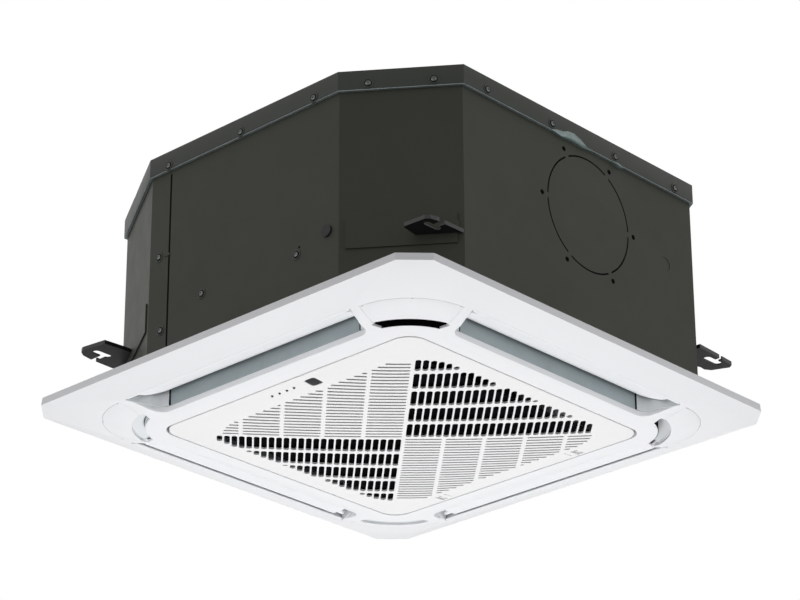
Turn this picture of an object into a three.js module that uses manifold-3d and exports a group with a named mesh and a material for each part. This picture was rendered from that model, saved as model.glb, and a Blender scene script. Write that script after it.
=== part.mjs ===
// A compact four-way ceiling cassette air conditioner, in millimetres, +Z up.
// The origin is below the middle of the panel, level with the lowest face of the intake grille.
// Left is -X, front is -Y, right is +X and rear is +Y, seen in plan.
import * as THREE from 'three';
import { mergeVertices } from 'three/addons/utils/BufferGeometryUtils.js';
import Module from 'manifold-3d';

const wasm = await Module();
wasm.setup();

// ---------------------------------------------------------------- driving dimensions

// General
const GAP = 0.3; // clearance between neighbouring pieces
const RUNNING = 0.15; // radial clearance of a pin in its bore
const SHEET = 1.2; // sheet metal
const CORNER_STEPS = 5; // facets in each rounded corner of the panel

// Panel, from its middle outwards
const GRILLE_WIDTH = 417;
const GRILLE_CORNER = 26;
const OPENING_CORNER = 24.5; // tighter than the grille's, so that it clears the opening as it swings
const SEAM = 2; // between the grille and the panel frame
const RING_WIDTH = 27.5; // flat ring between the grille and the outlets
const RING_CORNER = 66;
const OUTLET_WIDTH = 47.5;
const RIM_MARGIN = 39.5; // from the outlets to the panel's edge
const OUTER_CORNER = 87;
const RIM_CHAMFER_LOW = 29;
const RIM_CHAMFER_HIGH = 31;

// Panel, from its lowest face upwards
const BORDER_RISE = 7.8; // the grille's sloping border
const RING_RISE = 2.2;
const INNER_LIP_RISE = 3;
const OUTER_LIP_RISE = 6.5;
const RIM_RISE = 11.5;
const RIM_HEIGHT = 9.5;
const SKIN = 3;
const COLLAR = 7; // moulded edge round each outlet
const RIM_WALL = 5;
const UPSTAND_HEIGHT = 12;
const DUCT_ABOVE_CEILING = 10.5;
const DUCT_CLEARANCE = 2; // round the foam duct
const SEAL_THICKNESS = 2.4;
const SEAL_WINDOW_MARGIN = 5;

// Air outlets, corner slots and corner covers
const OUTLET_END_MARGIN = 12; // from the corner's centre back to the end of the inner lip
const OUTLET_OUTER_EXTRA = 27.7; // the outer lip is longer than the inner one by this at each end
const OUTLET_CORNER = 16;
const SLOT_WIDTH = 16;
const SLOT_FROM_RING = 4; // solid strip between the ring's corner and the slot
const SLOT_START_DEG = 15;
const CORNER_DIP = 3;
const COVER_THICKNESS = 2.6;
const LEDGE_THICKNESS = 2.5;
const LEDGE_LAP = 5;

// Vanes
const VANE_CHORD = 42;
const VANE_THICKNESS = 2.2;
const VANE_REST_DEG = 19.7;
const VANE_EDGE_GAP = 4; // from the outer lip to the vane's outer edge at rest
const VANE_EDGE_RISE = 2.2; // above the outer lip's surface
const PIVOT_INSET = 2; // from the vane's outer edge inwards
const PIVOT_RISE = 7; // from the vane's outer edge upwards
const PIVOT_RADIUS = 2;
const HUB_RADIUS = 4.2;
const VANE_END_GAP = 5; // from the vane's widest point to the outlet's end
const EAR_THICKNESS = 3;
const EAR_HALF_WIDTH = 5.5;
const VANE_MOTOR_RADIUS = 10;
const VANE_MOTOR_LENGTH = 15;
const VANE_MOTOR_INSET = 3.5;
const VANE_MOTOR_LIFT = 5.3;

// Intake grille
const PLATE = 2.6;
const FIELD_WIDTH = 314; // flat perforated square
const TRAY_WALL = 2.5;
const TRAY_HEIGHT = 9;
const COLUMNS = 25; // slots along half of the field's diagonal
const ROW_PITCH = 48.3;
const BRIDGE = 7.3; // between the slots of a row
const HOLE_WIDTH = 5.5;
const LOUVRE_WIDTH = 4;
const FIELD_MARGIN = 4;
const HINGE_INSET = 13;
const HINGE_LIFT = 3.4;
const HINGE_PIN_RADIUS = 2;
const HINGE_PIN_LENGTH = 10;
const LATCH_OFFSET = 114;
const LATCH_LENGTH = 20;
const LATCH_BREADTH = 16;
const LATCH_THICKNESS = 3.4;
const NOTCH_LENGTH = 17;
const NOTCH_BREADTH = 10;
const THUMB_LENGTH = 6;
const THUMB_BREADTH = 8;
const LENS_EDGE = 19.9; // from the grille's left edge to the lens's middle
const LENS_Y = -34.8;
const LENS_WIDTH = 16.5;
const LENS_CORNER = 3.2;
const LENS_THICKNESS = 2.2;
const FIELD_CORNER = 4;
const FILTER_CELLS = 5;
const LAMPS_Y = [31.2, 18.9, 6.6, -5.3];
const LAMPS_EDGE = 17;
const LAMP_RADIUS = 1.1;
const BOARD_THICKNESS = 1.6;
const FILTER_MARGIN = 40.5; // from the grille's edge to the filter
const FILTER_THICKNESS = 6;

// Body
const BODY_MARGIN = 4.5; // from the outlets' outer lip to the body's wall
const BODY_HEIGHT = 270;
const LID_PROUD = 4;
const LID_SKIRT = 25;
const BOTTOM_FLANGE = 4;
const CUT_FRONT_LEFT = [85, 116]; // lengths cut off the corner along X and along Y
const CUT_REAR_LEFT = [88, 144];
const CUT_FRONT_RIGHT = [72, 116];
const CUT_REAR_RIGHT = [85, 116];
const LINER_THICKNESS = 18;
const LINER_TOP = 10;
const KNOCKOUT_RADIUS = 75;
const KNOCKOUT_AT_X = 17.5;
const KNOCKOUT_ABOVE_BOTTOM = 157;
const KNOCKOUT_SLIT = 1.4;
const KNOCKOUT_BRIDGE_DEG = 5;
const KNOCKOUT_HOLE_CIRCLE = 84.5;
const KNOCKOUT_HOLE = 2;
const PLUG_RADIUS = 6;
const PLUG_AT_Y = -155.5;
const PLUG_ABOVE_BOTTOM = 71.6;

// Hanger brackets
const HANGER_ABOVE_BOTTOM = 54;
const HANGER_SHEET = 1.8;
const HANGER_LIP = 5;
const HANGER_FLANGE_BELOW = 12;
const HANGER_FLANGE_ABOVE = 26;

// Fan
const MOTOR_RADIUS = 60;
const MOTOR_HEIGHT = 58;
const MOUNT_CIRCLE = 76;
const MOUNT_RADIUS = 9;
const MOUNT_HEIGHT = 22;
const SHAFT_RADIUS = 6;
const SHAFT_IN_MOTOR = 30;
const BLADE_START = 92;
const FAN_RADIUS = 165;
const FAN_INLET = 127;
const FAN_HEIGHT = 122;
const HUB_DEPTH = 26;
const HUB_WALL = 8; // round the shaft
const FAN_CLEARANCE = 8; // between the motor and the impeller's back plate
const BLADES = 7;
const NUT_RADIUS = 12;
const NUT_HEIGHT = 8;
const BELL_THROAT = 121;
const BELL_MOUTH = 144;
const BELL_SHEET = 2;
const BELL_OVERLAP = 4; // how far the throat reaches into the impeller

// Heat exchanger, drain pan and drain pump
const PAN_HEIGHT = 48;
const PAN_TROUGH = 22;
const PAN_HOLE = 141;
const PAN_LIP = 14; // solid strip between the coil and the outlets
const COIL_INNER = 192;
const COIL_THICKNESS = 26;
const COIL_CORNER = 50;
const COIL_TO_TOP = 4;
const COIL_END = 140;
const END_PLATE = 2;
const GAS_PIPE_RADIUS = 6.35;
const LIQUID_PIPE_RADIUS = 3.6;
const PIPE_WALL = 1;
const GAS_PIPE_LEVEL = 150; // above the body's lower edge
const LIQUID_PIPE_LEVEL = 190;
const PIPE_RUN = 16; // from the coil's end plate to the pipe's line out
const PIPE_STUB = 30;
const NUT_LENGTH = 16;
const PUMP_AT = 185;
const PUMP_RADIUS = 22;
const PUMP_HEIGHT = 56;
const PUMP_FLANGE = 72;
const PUMP_FLANGE_THICKNESS = 3.5;
const SUMP_RADIUS = 31;
const SUMP_DEPTH = 34;
const PUMP_INLET_RADIUS = 8;
const FLOAT_OFFSET = 20;
const FLOAT_RADIUS = 8;
const FLOAT_HEIGHT = 10;
const FLOAT_ROD = 2;
const DRAIN_TUBE_RADIUS = 11;
const DRAIN_TUBE_WALL = 3;
const DRAIN_TUBE_ABOVE_PAN = 44;
const DRAIN_STUB = 26;

// Control box, beside the bell mouth
const BOX_INNER_X = 150;
const BOX_WIDTH = 56;
const BOX_LENGTH = 190;
const BOX_DEPTH = 30;
const BOX_WALL = 1.5;
const CONTROL_BOARD_DROP = 8;
const BOARD_CLEARANCE = 2; // round the board, on top of the box's wall
const BOARD_SIDE = 4;
const CHIP_HEIGHT = 10;
const TERMINAL_LENGTH = 45;
const TERMINAL_WIDTH = 20;
const TERMINAL_HEIGHT = 12;
const TERMINAL_FROM_END = 6.5;
const TERMINALS = 4;

// ---------------------------------------------------------------- derived places

const grilleHalf = GRILLE_WIDTH / 2;
const openingHalf = grilleHalf + SEAM;
const innerLip = openingHalf + RING_WIDTH;
const outerLip = innerLip + OUTLET_WIDTH;
const rimHalf = outerLip + RIM_MARGIN;
const bodyHalf = outerLip + BODY_MARGIN;
const cornerCentre = innerLip - RING_CORNER;
const slotInner = RING_CORNER + SLOT_FROM_RING;
const slotOuter = slotInner + SLOT_WIDTH;
const coverCentre = outerLip - OUTER_CORNER;

const borderZ = BORDER_RISE;
const ringZ = borderZ + RING_RISE;
const midZ = ringZ + INNER_LIP_RISE;
const outerLipZ = midZ + OUTER_LIP_RISE;
const rimZ = outerLipZ + RIM_RISE;
const ceilingZ = rimZ + RIM_HEIGHT;
const ductTop = ceilingZ + DUCT_ABOVE_CEILING;
const sealBottom = ductTop + GAP;
const bodyBottom = sealBottom + SEAL_THICKNESS + GAP;
const bodyTop = bodyBottom + BODY_HEIGHT;

const outletHalf = cornerCentre - OUTLET_END_MARGIN;
const outletOuterHalf = outletHalf + OUTLET_OUTER_EXTRA;
const outletCornerX = innerLip + OUTLET_CORNER;
const outletEndSlope = (OUTLET_OUTER_EXTRA - OUTLET_CORNER) / (outerLip - outletCornerX);
const outletHalfAt = (x) => outletOuterHalf - (outerLip - x) * outletEndSlope;

const vaneEdgeX = outerLip - VANE_EDGE_GAP;
const vaneEdgeZ = outerLipZ + VANE_EDGE_RISE;
const pivotX = vaneEdgeX - PIVOT_INSET;
const pivotZ = vaneEdgeZ + PIVOT_RISE;
const earInner = outletHalfAt(pivotX) + 1.8;
const earOuter = earInner + EAR_THICKNESS;
const pocketInnerX = pivotX - VANE_MOTOR_INSET - VANE_MOTOR_RADIUS - 4;
const pocketTop = ductTop - 5;

const fieldHalf = FIELD_WIDTH / 2;
const trayTop = borderZ + TRAY_HEIGHT;
const hingeX = grilleHalf - HINGE_INSET;
const hingeZ = borderZ + HINGE_LIFT;
const filterHalf = grilleHalf - FILTER_MARGIN;
const borderSlope = BORDER_RISE / (grilleHalf - fieldHalf);
const plateTopAt = (half) => PLATE + Math.max(0, half - fieldHalf) * borderSlope;
const filterBottom = plateTopAt(filterHalf) + GAP;
const lensX = grilleHalf - LENS_EDGE;
const lampsX = grilleHalf - LAMPS_EDGE;
const boardBottom = plateTopAt(lensX + LENS_WIDTH / 2) + GAP;
const latchZ = plateTopAt(grilleHalf - TRAY_WALL) + GAP;
const latchInnerX = grilleHalf - TRAY_WALL - GAP - LATCH_LENGTH;
const notchX = grilleHalf - TRAY_WALL - NOTCH_LENGTH - 1;
// Where the hinge line crosses a rounded corner, from the half width and the radius.
const crossing = (half, radius) => half - radius + Math.sqrt(radius ** 2 - (hingeX - half + radius) ** 2);
const pinMiddleY = (crossing(grilleHalf - TRAY_WALL, GRILLE_CORNER - TRAY_WALL) + crossing(openingHalf + SKIN, OPENING_CORNER + SKIN)) / 2;

const wallInside = bodyHalf - SHEET;
const linerOuterInset = SHEET + GAP;
const linerInnerInset = linerOuterInset + LINER_THICKNESS;
const panInset = linerInnerInset + GAP;
const lidUnderside = bodyTop - SHEET;
const wallTop = lidUnderside - GAP;
const linerBottom = bodyBottom + SHEET + GAP;
const linerTopZ = wallTop;
const linerCeiling = linerTopZ - LINER_TOP;
const panBottom = linerBottom;
const panTop = panBottom + PAN_HEIGHT;

const coilOuter = COIL_INNER + COIL_THICKNESS;
const coilBottom = panTop - PAN_TROUGH + GAP;
const coilTop = linerCeiling - COIL_TO_TOP;
const coilMid = COIL_INNER + COIL_THICKNESS / 2;

const mountTop = lidUnderside - GAP;
const mountBottom = mountTop - MOUNT_HEIGHT;
const motorTop = mountBottom - GAP;
const motorBottom = motorTop - MOTOR_HEIGHT;
const fanTop = motorBottom - FAN_CLEARANCE;
const fanBottom = fanTop - FAN_HEIGHT;
const hubBottom = fanTop - HUB_DEPTH;
const nutTop = hubBottom - GAP;
const nutBottom = nutTop - NUT_HEIGHT;
const bellTop = fanBottom + BELL_OVERLAP;
const bellBottom = panBottom - GAP - BELL_SHEET;

const boxTop = panBottom - GAP;
const boxBottom = boxTop - BOX_DEPTH;
const boxOuterX = BOX_INNER_X + BOX_WIDTH;
const controlBoardZ = boxTop - BOX_WALL - CONTROL_BOARD_DROP;
const controlBoardHalf = BOX_LENGTH / 2 - BOX_WALL - BOARD_CLEARANCE;
const boxMiddleX = BOX_INNER_X + BOX_WIDTH / 2;

const pumpBase = panTop + GAP;
const drainZ = panTop + DRAIN_TUBE_ABOVE_PAN;
const floatZ = panTop - SUMP_DEPTH + 6;

// ---------------------------------------------------------------- solids

const radians = THREE.MathUtils.degToRad;

// A closed geometry as a solid that can be joined and cut.
function solid(geometry) {
  const bare = new THREE.BufferGeometry();
  bare.setAttribute('position', geometry.getAttribute('position'));
  bare.setIndex(geometry.index);
  const merged = mergeVertices(bare, 1e-4);
  const kept = [];
  const index = merged.index.array;
  for (let i = 0; i < index.length; i += 3) {
    const [a, b, c] = [index[i], index[i + 1], index[i + 2]];
    if (a !== b && b !== c && c !== a) kept.push(a, b, c);
  }
  const build = (triangles) => new wasm.Manifold(new wasm.Mesh({
    numProp: 3,
    vertProperties: merged.attributes.position.array,
    triVerts: new Uint32Array(triangles),
  }));
  const made = build(kept);
  return made.volume() < 0 ? build(kept.reverse()) : made;
}

function geometryOf(body) {
  const mesh = body.getMesh();
  const geometry = new THREE.BufferGeometry();
  geometry.setAttribute('position', new THREE.BufferAttribute(mesh.vertProperties, 3));
  geometry.setIndex(new THREE.BufferAttribute(mesh.triVerts, 1));
  geometry.computeVertexNormals();
  return geometry;
}

const join = (...bodies) => bodies.reduce((sum, body) => sum.add(body));
const cut = (body, ...tools) => tools.reduce((left, tool) => left.subtract(tool), body);

// A box between two corners.
function box(x0, x1, y0, y1, z0, z1) {
  const geometry = new THREE.BoxGeometry(x1 - x0, y1 - y0, z1 - z0);
  geometry.translate((x0 + x1) / 2, (y0 + y1) / 2, (z0 + z1) / 2);
  return solid(geometry);
}

// A flat outline, as points, a shape or a list of shapes, raised from z0 to z1.
function prism(outline, z0, z1, curveSegments = 8) {
  const isPoints = Array.isArray(outline) && Array.isArray(outline[0]);
  const shape = isPoints ? new THREE.Shape(outline.map(([x, y]) => new THREE.Vector2(x, y))) : outline;
  const settings = { depth: z1 - z0, bevelEnabled: false, curveSegments };
  const geometry = new THREE.ExtrudeGeometry(shape, settings);
  geometry.translate(0, 0, z0);
  return solid(geometry);
}

// A profile of [radius, z] points turned about Z: closed on itself, or ending on the axis.
function turned(profile, sides = 32, x = 0, y = 0) {
  const points = profile.map(([r, z]) => new THREE.Vector2(r, z));
  const geometry = new THREE.LatheGeometry(points, sides);
  geometry.rotateX(Math.PI / 2);
  geometry.translate(x, y, 0);
  return solid(geometry);
}

function cylinder(radius, z0, z1, x = 0, y = 0, sides = 24) {
  const geometry = new THREE.CylinderGeometry(radius, radius, z1 - z0, sides);
  geometry.rotateX(Math.PI / 2);
  geometry.translate(x, y, (z0 + z1) / 2);
  return solid(geometry);
}

// A round bar along Y.
function barY(radius, y0, y1, x, z, sides = 12) {
  const geometry = new THREE.CylinderGeometry(radius, radius, Math.abs(y1 - y0), sides);
  geometry.translate(x, (y0 + y1) / 2, z);
  return solid(geometry);
}

// A round bar along X.
function barX(radius, x0, x1, y, z, sides = 12) {
  const geometry = new THREE.CylinderGeometry(radius, radius, Math.abs(x1 - x0), sides);
  geometry.rotateZ(Math.PI / 2);
  geometry.translate((x0 + x1) / 2, y, z);
  return solid(geometry);
}

// Rings of as many points each, joined in turn and back to the first: a closed tube of that section.
function ringLoft(rings) {
  const count = rings[0].length;
  const positions = rings.flat(2);
  const index = [];
  rings.forEach((ring, r) => {
    const next = (r + 1) % rings.length;
    for (let i = 0; i < count; i += 1) {
      const j = (i + 1) % count;
      const [a, b] = [r * count + i, r * count + j];
      const [c, d] = [next * count + i, next * count + j];
      index.push(a, b, d, a, d, c);
    }
  });
  const geometry = new THREE.BufferGeometry();
  geometry.setAttribute('position', new THREE.Float32BufferAttribute(positions, 3));
  geometry.setIndex(index);
  return solid(geometry);
}

// A square ring of points with rounded corners. The corners may dip below the sides.
function roundRing(half, radius, z, dip = 0) {
  const centre = half - radius;
  const points = [];
  for (let corner = 0; corner < 4; corner += 1) {
    for (let i = 0; i <= CORNER_STEPS; i += 1) {
      const inCorner = (Math.PI / 2) * (i / CORNER_STEPS);
      const angle = inCorner + (corner * Math.PI) / 2;
      const cx = corner === 0 || corner === 3 ? centre : -centre;
      const cy = corner < 2 ? centre : -centre;
      const low = dip * Math.min(1, 2 * Math.sin(2 * inCorner));
      points.push([cx + radius * Math.cos(angle), cy + radius * Math.sin(angle), z - low]);
    }
  }
  return points;
}

// The same with the corners cut straight.
function chamferRing(half, chamfer, z) {
  const points = [];
  const ends = [
    [[half, half - chamfer], [half - chamfer, half]],
    [[chamfer - half, half], [-half, half - chamfer]],
    [[-half, chamfer - half], [chamfer - half, -half]],
    [[half - chamfer, -half], [half, chamfer - half]],
  ];
  for (const [from, to] of ends) {
    for (let i = 0; i <= CORNER_STEPS; i += 1) {
      const t = i / CORNER_STEPS;
      points.push([from[0] + (to[0] - from[0]) * t, from[1] + (to[1] - from[1]) * t, z]);
    }
  }
  return points;
}

// Part of a flat ring about a centre, between two angles.
function sector(cx, cy, inner, outer, startDeg, endDeg) {
  const shape = new THREE.Shape();
  shape.absarc(cx, cy, outer, radians(startDeg), radians(endDeg), false);
  shape.absarc(cx, cy, inner, radians(endDeg), radians(startDeg), true);
  shape.closePath();
  return shape;
}

const quarterTurn = (body, times) => body.rotate([0, 0, 90 * times]);
const sides = ['left', 'front', 'right', 'rear'];
const corners = ['rear_right', 'rear_left', 'front_left', 'front_right'];

// ---------------------------------------------------------------- materials

const paint = (color, roughness, metalness = 0) => new THREE.MeshStandardMaterial({ color, roughness, metalness });
const white = paint(0xf0f1f3, 0.42);
const grilleWhite = paint(0xeeeeec, 0.5);
const dark = paint(0x1c1d20, 0.25);
const ductGrey = paint(0x8f999f, 0.85);
const coatedSteel = paint(0x40413a, 0.5, 0.4);
const hangerSteel = paint(0x26282a, 0.5, 0.6);
const foamWhite = paint(0xd8dadb, 0.95);
const sealBlack = paint(0x2a2b2c, 0.95);
const finAluminium = paint(0xb9bec2, 0.45, 0.9);
const galvanised = paint(0xa4a8aa, 0.45, 0.9);
const copper = paint(0xb46a42, 0.35, 0.95);
const brass = paint(0xb9975a, 0.35, 0.95);
const rubber = paint(0x1a1a1a, 0.85);
const boardGreen = paint(0x1f5a38, 0.6);
const motorSteel = paint(0x8d9194, 0.4, 0.9);
const greyPlastic = paint(0x9aa0a3, 0.55);
const filterGrey = paint(0x4a4e52, 0.8);

// ---------------------------------------------------------------- scene

const group = new THREE.Group();

function add(name, body, material, parent = group) {
  const mesh = new THREE.Mesh(geometryOf(body), material);
  mesh.name = name;
  parent.add(mesh);
}

// ---------------------------------------------------------------- panel surfaces

// The panel's underside from the rim to the grille's seam, moved up by a lift.
function undersideRings(lift) {
  return [
    chamferRing(rimHalf, RIM_CHAMFER_LOW, rimZ + lift),
    roundRing(outerLip, OUTER_CORNER, outerLipZ + lift),
    roundRing(cornerCentre + slotOuter, slotOuter, midZ + lift, CORNER_DIP),
    roundRing(innerLip, RING_CORNER, ringZ + lift, CORNER_DIP / 2),
    roundRing(openingHalf, OPENING_CORNER, borderZ + lift),
  ];
}

// A layer that follows the underside, between two heights above it.
const layer = (low, high) => ringLoft([...undersideRings(low), ...undersideRings(high).reverse()]);

// The outline of the left air outlet, grown by a margin.
function outletOutline(grow = 0) {
  const shape = new THREE.Shape();
  const outer = -outerLip - grow;
  const radius = OUTLET_CORNER + grow;
  const end = outletHalf;
  shape.moveTo(outer, outletOuterHalf + grow);
  shape.lineTo(outer, -outletOuterHalf - grow);
  shape.absarc(-outletCornerX, -end, radius, -Math.PI / 2, 0, false);
  shape.absarc(-outletCornerX, end, radius, 0, Math.PI / 2, false);
  shape.closePath();
  return shape;
}

const outletCut = (low, high, grow = 0) => prism(outletOutline(grow), low, high, 5);

// The corner cover over the corner between +X and +Y, grown by a margin.
function coverOutline(grow = 0) {
  const shape = new THREE.Shape();
  const outer = OUTER_CORNER - 2 + grow;
  const inner = slotOuter - grow;
  const slack = (grow / slotOuter) * (180 / Math.PI);
  const start = radians(SLOT_START_DEG - slack);
  const stop = radians(90 - SLOT_START_DEG + slack);
  const open = radians(1 - slack);
  shape.absarc(coverCentre, coverCentre, outer, open, Math.PI / 2 - open, false);
  shape.absarc(cornerCentre, cornerCentre, inner, stop, start, true);
  shape.closePath();
  return shape;
}

const slotOutline = () => sector(cornerCentre, cornerCentre, slotInner, slotOuter, SLOT_START_DEG, 90 - SLOT_START_DEG);

// ---------------------------------------------------------------- panel

function makePanelFrame() {
  const upper = undersideRings(SKIN);
  const skin = ringLoft([
    ...undersideRings(0),
    roundRing(openingHalf, OPENING_CORNER, borderZ + UPSTAND_HEIGHT),
    roundRing(openingHalf + SKIN, OPENING_CORNER + SKIN, borderZ + UPSTAND_HEIGHT),
    roundRing(openingHalf + SKIN, OPENING_CORNER + SKIN, borderZ + SKIN),
    upper[3],
    upper[2],
    upper[1],
    chamferRing(rimHalf - RIM_WALL, RIM_CHAMFER_LOW - 2, rimZ + SKIN),
    chamferRing(rimHalf - RIM_WALL, RIM_CHAMFER_HIGH - 2, ceilingZ),
    chamferRing(rimHalf, RIM_CHAMFER_HIGH, ceilingZ),
  ]);
  const collarLayer = layer(0.5, COLLAR);
  const ledgeLow = COVER_THICKNESS + GAP;
  const ledgeLayer = layer(ledgeLow, ledgeLow + LEDGE_THICKNESS);
  const above = ceilingZ;
  let frame = skin;
  for (let k = 0; k < 4; k += 1) {
    const collar = collarLayer.intersect(quarterTurn(outletCut(0, above, SKIN - 0.5), k));
    const recess = layer(-20, ledgeLow).intersect(quarterTurn(prism(coverOutline(GAP), -20, above), k));
    const ledge = ledgeLayer.intersect(quarterTurn(prism(coverOutline(LEDGE_LAP), -1, above), k));
    frame = frame.add(collar).add(ledge).subtract(recess);
  }
  for (let k = 0; k < 4; k += 1) {
    const slot = quarterTurn(prism(slotOutline(), -1, above), k);
    frame = frame.subtract(quarterTurn(outletCut(-1, above), k)).subtract(slot);
  }
  for (let k = 0; k < 4; k += 1) frame = frame.subtract(quarterTurn(hubClearance(), k));
  for (let k = 0; k < 4; k += 1) {
    const shaftBore = barY(PIVOT_RADIUS + GAP, outletHalf, earOuter + LEDGE_LAP, -pivotX, pivotZ);
    frame = frame.add(quarterTurn(makeEars(), k)).subtract(quarterTurn(shaftBore, k));
  }
  const bores = [-1, 1].map((end) => barY(HINGE_PIN_RADIUS + RUNNING, end * hingeX, end * rimHalf / 1.4, -hingeX, hingeZ));
  return cut(frame, ...bores);
}

// The two ears that carry the left vane: one bored for the motor's shaft, one with a stud.
function makeEars() {
  const low = layer(-20, 1);
  const ear = (y0, y1) => box(-pivotX - EAR_HALF_WIDTH, -pivotX + EAR_HALF_WIDTH, y0, y1, ringZ, pivotZ + EAR_HALF_WIDTH).subtract(low);
  const driven = ear(earInner, earOuter);
  const idle = ear(-earOuter, -earInner).add(idleStud());
  return driven.add(idle);
}

const idleStud = () => barY(PIVOT_RADIUS, -earInner - 1, -earInner + 5, -pivotX, pivotZ);

// Room for the ends of the left vane's hubs.
function hubClearance() {
  const room = HUB_RADIUS + GAP + 0.2;
  const driven = barY(room, outletHalf, earInner, -pivotX, pivotZ);
  const idle = barY(room, -earInner, -outletHalf, -pivotX, pivotZ);
  return driven.add(idle);
}

// The foam duct is moulded in four, and this is the piece round one corner.
function makeDuctCorner() {
  const inner = openingHalf + SKIN + DUCT_CLEARANCE;
  const outer = bodyHalf - DUCT_CLEARANCE;
  const innerCorner = OPENING_CORNER + SKIN + DUCT_CLEARANCE;
  const outerCorner = OUTER_CORNER + DUCT_CLEARANCE;
  let duct = ringLoft([
    roundRing(outer, outerCorner, borderZ),
    roundRing(inner, innerCorner, borderZ),
    roundRing(inner, innerCorner, ductTop),
    roundRing(outer, outerCorner, ductTop),
  ]);
  duct = duct.subtract(layer(-30, COLLAR + GAP));
  for (let k = 0; k < 4; k += 1) {
    const tunnel = prism(sector(cornerCentre, cornerCentre, slotInner, slotOuter, -8, 98), -1, pocketTop);
    const pocket = box(-bodyHalf - 5, -pocketInnerX, earInner - 0.5, earOuter + VANE_MOTOR_LENGTH + 3, -1, pocketTop);
    const idlePocket = box(-bodyHalf - 5, -pocketInnerX, -earOuter - 3, -earInner + 0.5, -1, pocketTop);
    for (const tool of [outletCut(-1, ductTop + 1), tunnel, pocket, idlePocket, hubClearance()]) {
      duct = duct.subtract(quarterTurn(tool, k));
    }
  }
  return duct.intersect(box(GAP / 2, bodyHalf, GAP / 2, bodyHalf, 0, ductTop + 1));
}

function makePanelSeal() {
  let seal = prism(octagon(GAP), sealBottom, sealBottom + SEAL_THICKNESS);
  const windowHalf = outletHalf + SEAL_WINDOW_MARGIN;
  const windowCut = box(-outerLip, 0, -windowHalf, windowHalf, 0, bodyTop);
  for (let k = 0; k < 4; k += 1) seal = seal.subtract(quarterTurn(windowCut, k));
  return seal;
}

const makeCornerCover = () => layer(0, COVER_THICKNESS).intersect(prism(coverOutline(), -1, ceilingZ));

// The left vane at its rest pose, with a hub at each end: a socket for the motor and one for the stud.
function makeVane() {
  const widest = outletHalfAt(pivotX - 14) - VANE_END_GAP;
  const shape = new THREE.Shape();
  const outerEnd = widest - 8;
  const innerEnd = widest - 12.5;
  shape.moveTo(0, -outerEnd);
  shape.quadraticCurveTo(6, -widest, 18, -widest);
  shape.quadraticCurveTo(32, -widest + 1.5, VANE_CHORD, -innerEnd);
  shape.lineTo(VANE_CHORD, innerEnd);
  shape.quadraticCurveTo(32, widest - 1.5, 18, widest);
  shape.quadraticCurveTo(6, widest, 0, outerEnd);
  shape.closePath();
  const blade = new THREE.ExtrudeGeometry(shape, { depth: VANE_THICKNESS, bevelEnabled: false, curveSegments: 4 });
  blade.rotateY(-radians(VANE_REST_DEG));
  blade.translate(-vaneEdgeX, 0, vaneEdgeZ);
  let vane = solid(blade);
  const armWidth = 9;
  for (const end of [-1, 1]) {
    const from = end * (outerEnd - armWidth);
    const tip = end * (earInner - GAP);
    const low = Math.min(from, end * outerEnd);
    const arm = box(-pivotX - 3, -pivotX + 3, low, low + armWidth, vaneEdgeZ + 2, pivotZ);
    const hub = barY(HUB_RADIUS, from, tip, -pivotX, pivotZ);
    const socket = barY(PIVOT_RADIUS + RUNNING, end * (earInner - 5 - GAP), end * earOuter, -pivotX, pivotZ);
    vane = vane.add(arm).add(hub).subtract(socket);
  }
  return vane;
}

function makeVaneMotor() {
  const from = earOuter + GAP;
  const x = -pivotX + VANE_MOTOR_INSET;
  const z = pivotZ + VANE_MOTOR_LIFT;
  const can = barY(VANE_MOTOR_RADIUS, from, from + VANE_MOTOR_LENGTH, x, z, 14);
  const shaft = barY(PIVOT_RADIUS, earInner - 5, from + 2, -pivotX, pivotZ);
  return join(can, shaft);
}

// ---------------------------------------------------------------- intake grille

const columnPitch = (fieldHalf * Math.SQRT2) / COLUMNS;

// Slots of one quarter, as spans along one diagonal at each step along the other.
function slotSpans(rowPitch, bridge) {
  const spans = [];
  const reachFromCentre = fieldHalf * Math.SQRT2 - FIELD_MARGIN;
  for (let column = 0; column < COLUMNS; column += 1) {
    const across = (column + 0.5) * columnPitch;
    const reach = reachFromCentre - across;
    for (let start = bridge / 2; start < reach - HOLE_WIDTH; start += rowPitch) {
      spans.push({ across, start, stop: Math.min(start + rowPitch - bridge, reach) });
    }
  }
  return spans;
}

// The field's holes: long slots in the front and rear quarters, fine louvres in the left and right ones.
// They are laid out along the diagonals and turned by 45 degrees.
function fieldHoles() {
  const place = ([u, w]) => new THREE.Vector2((u + w) * Math.SQRT1_2, (u - w) * Math.SQRT1_2);
  const slots = slotSpans(ROW_PITCH, BRIDGE);
  const louvres = slotSpans(GRILLE_WIDTH, BRIDGE);
  const quarters = [
    { spans: slots, width: HOLE_WIDTH, map: ([a, b]) => [-a, b] },
    { spans: slots, width: HOLE_WIDTH, map: ([a, b]) => [a, -b] },
    { spans: louvres, width: LOUVRE_WIDTH, map: ([a, b]) => [-b, -a] },
    { spans: louvres, width: LOUVRE_WIDTH, map: ([a, b]) => [b, a] },
  ];
  return quarters.flatMap(({ spans, width, map }) => spans.map(({ across, start, stop }) => {
    const [low, high] = [across - width / 2, across + width / 2];
    const rectangle = [[start, low], [stop, low], [stop, high], [start, high]];
    return new THREE.Shape(rectangle.map((point) => place(map(point))));
  }));
}

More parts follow.
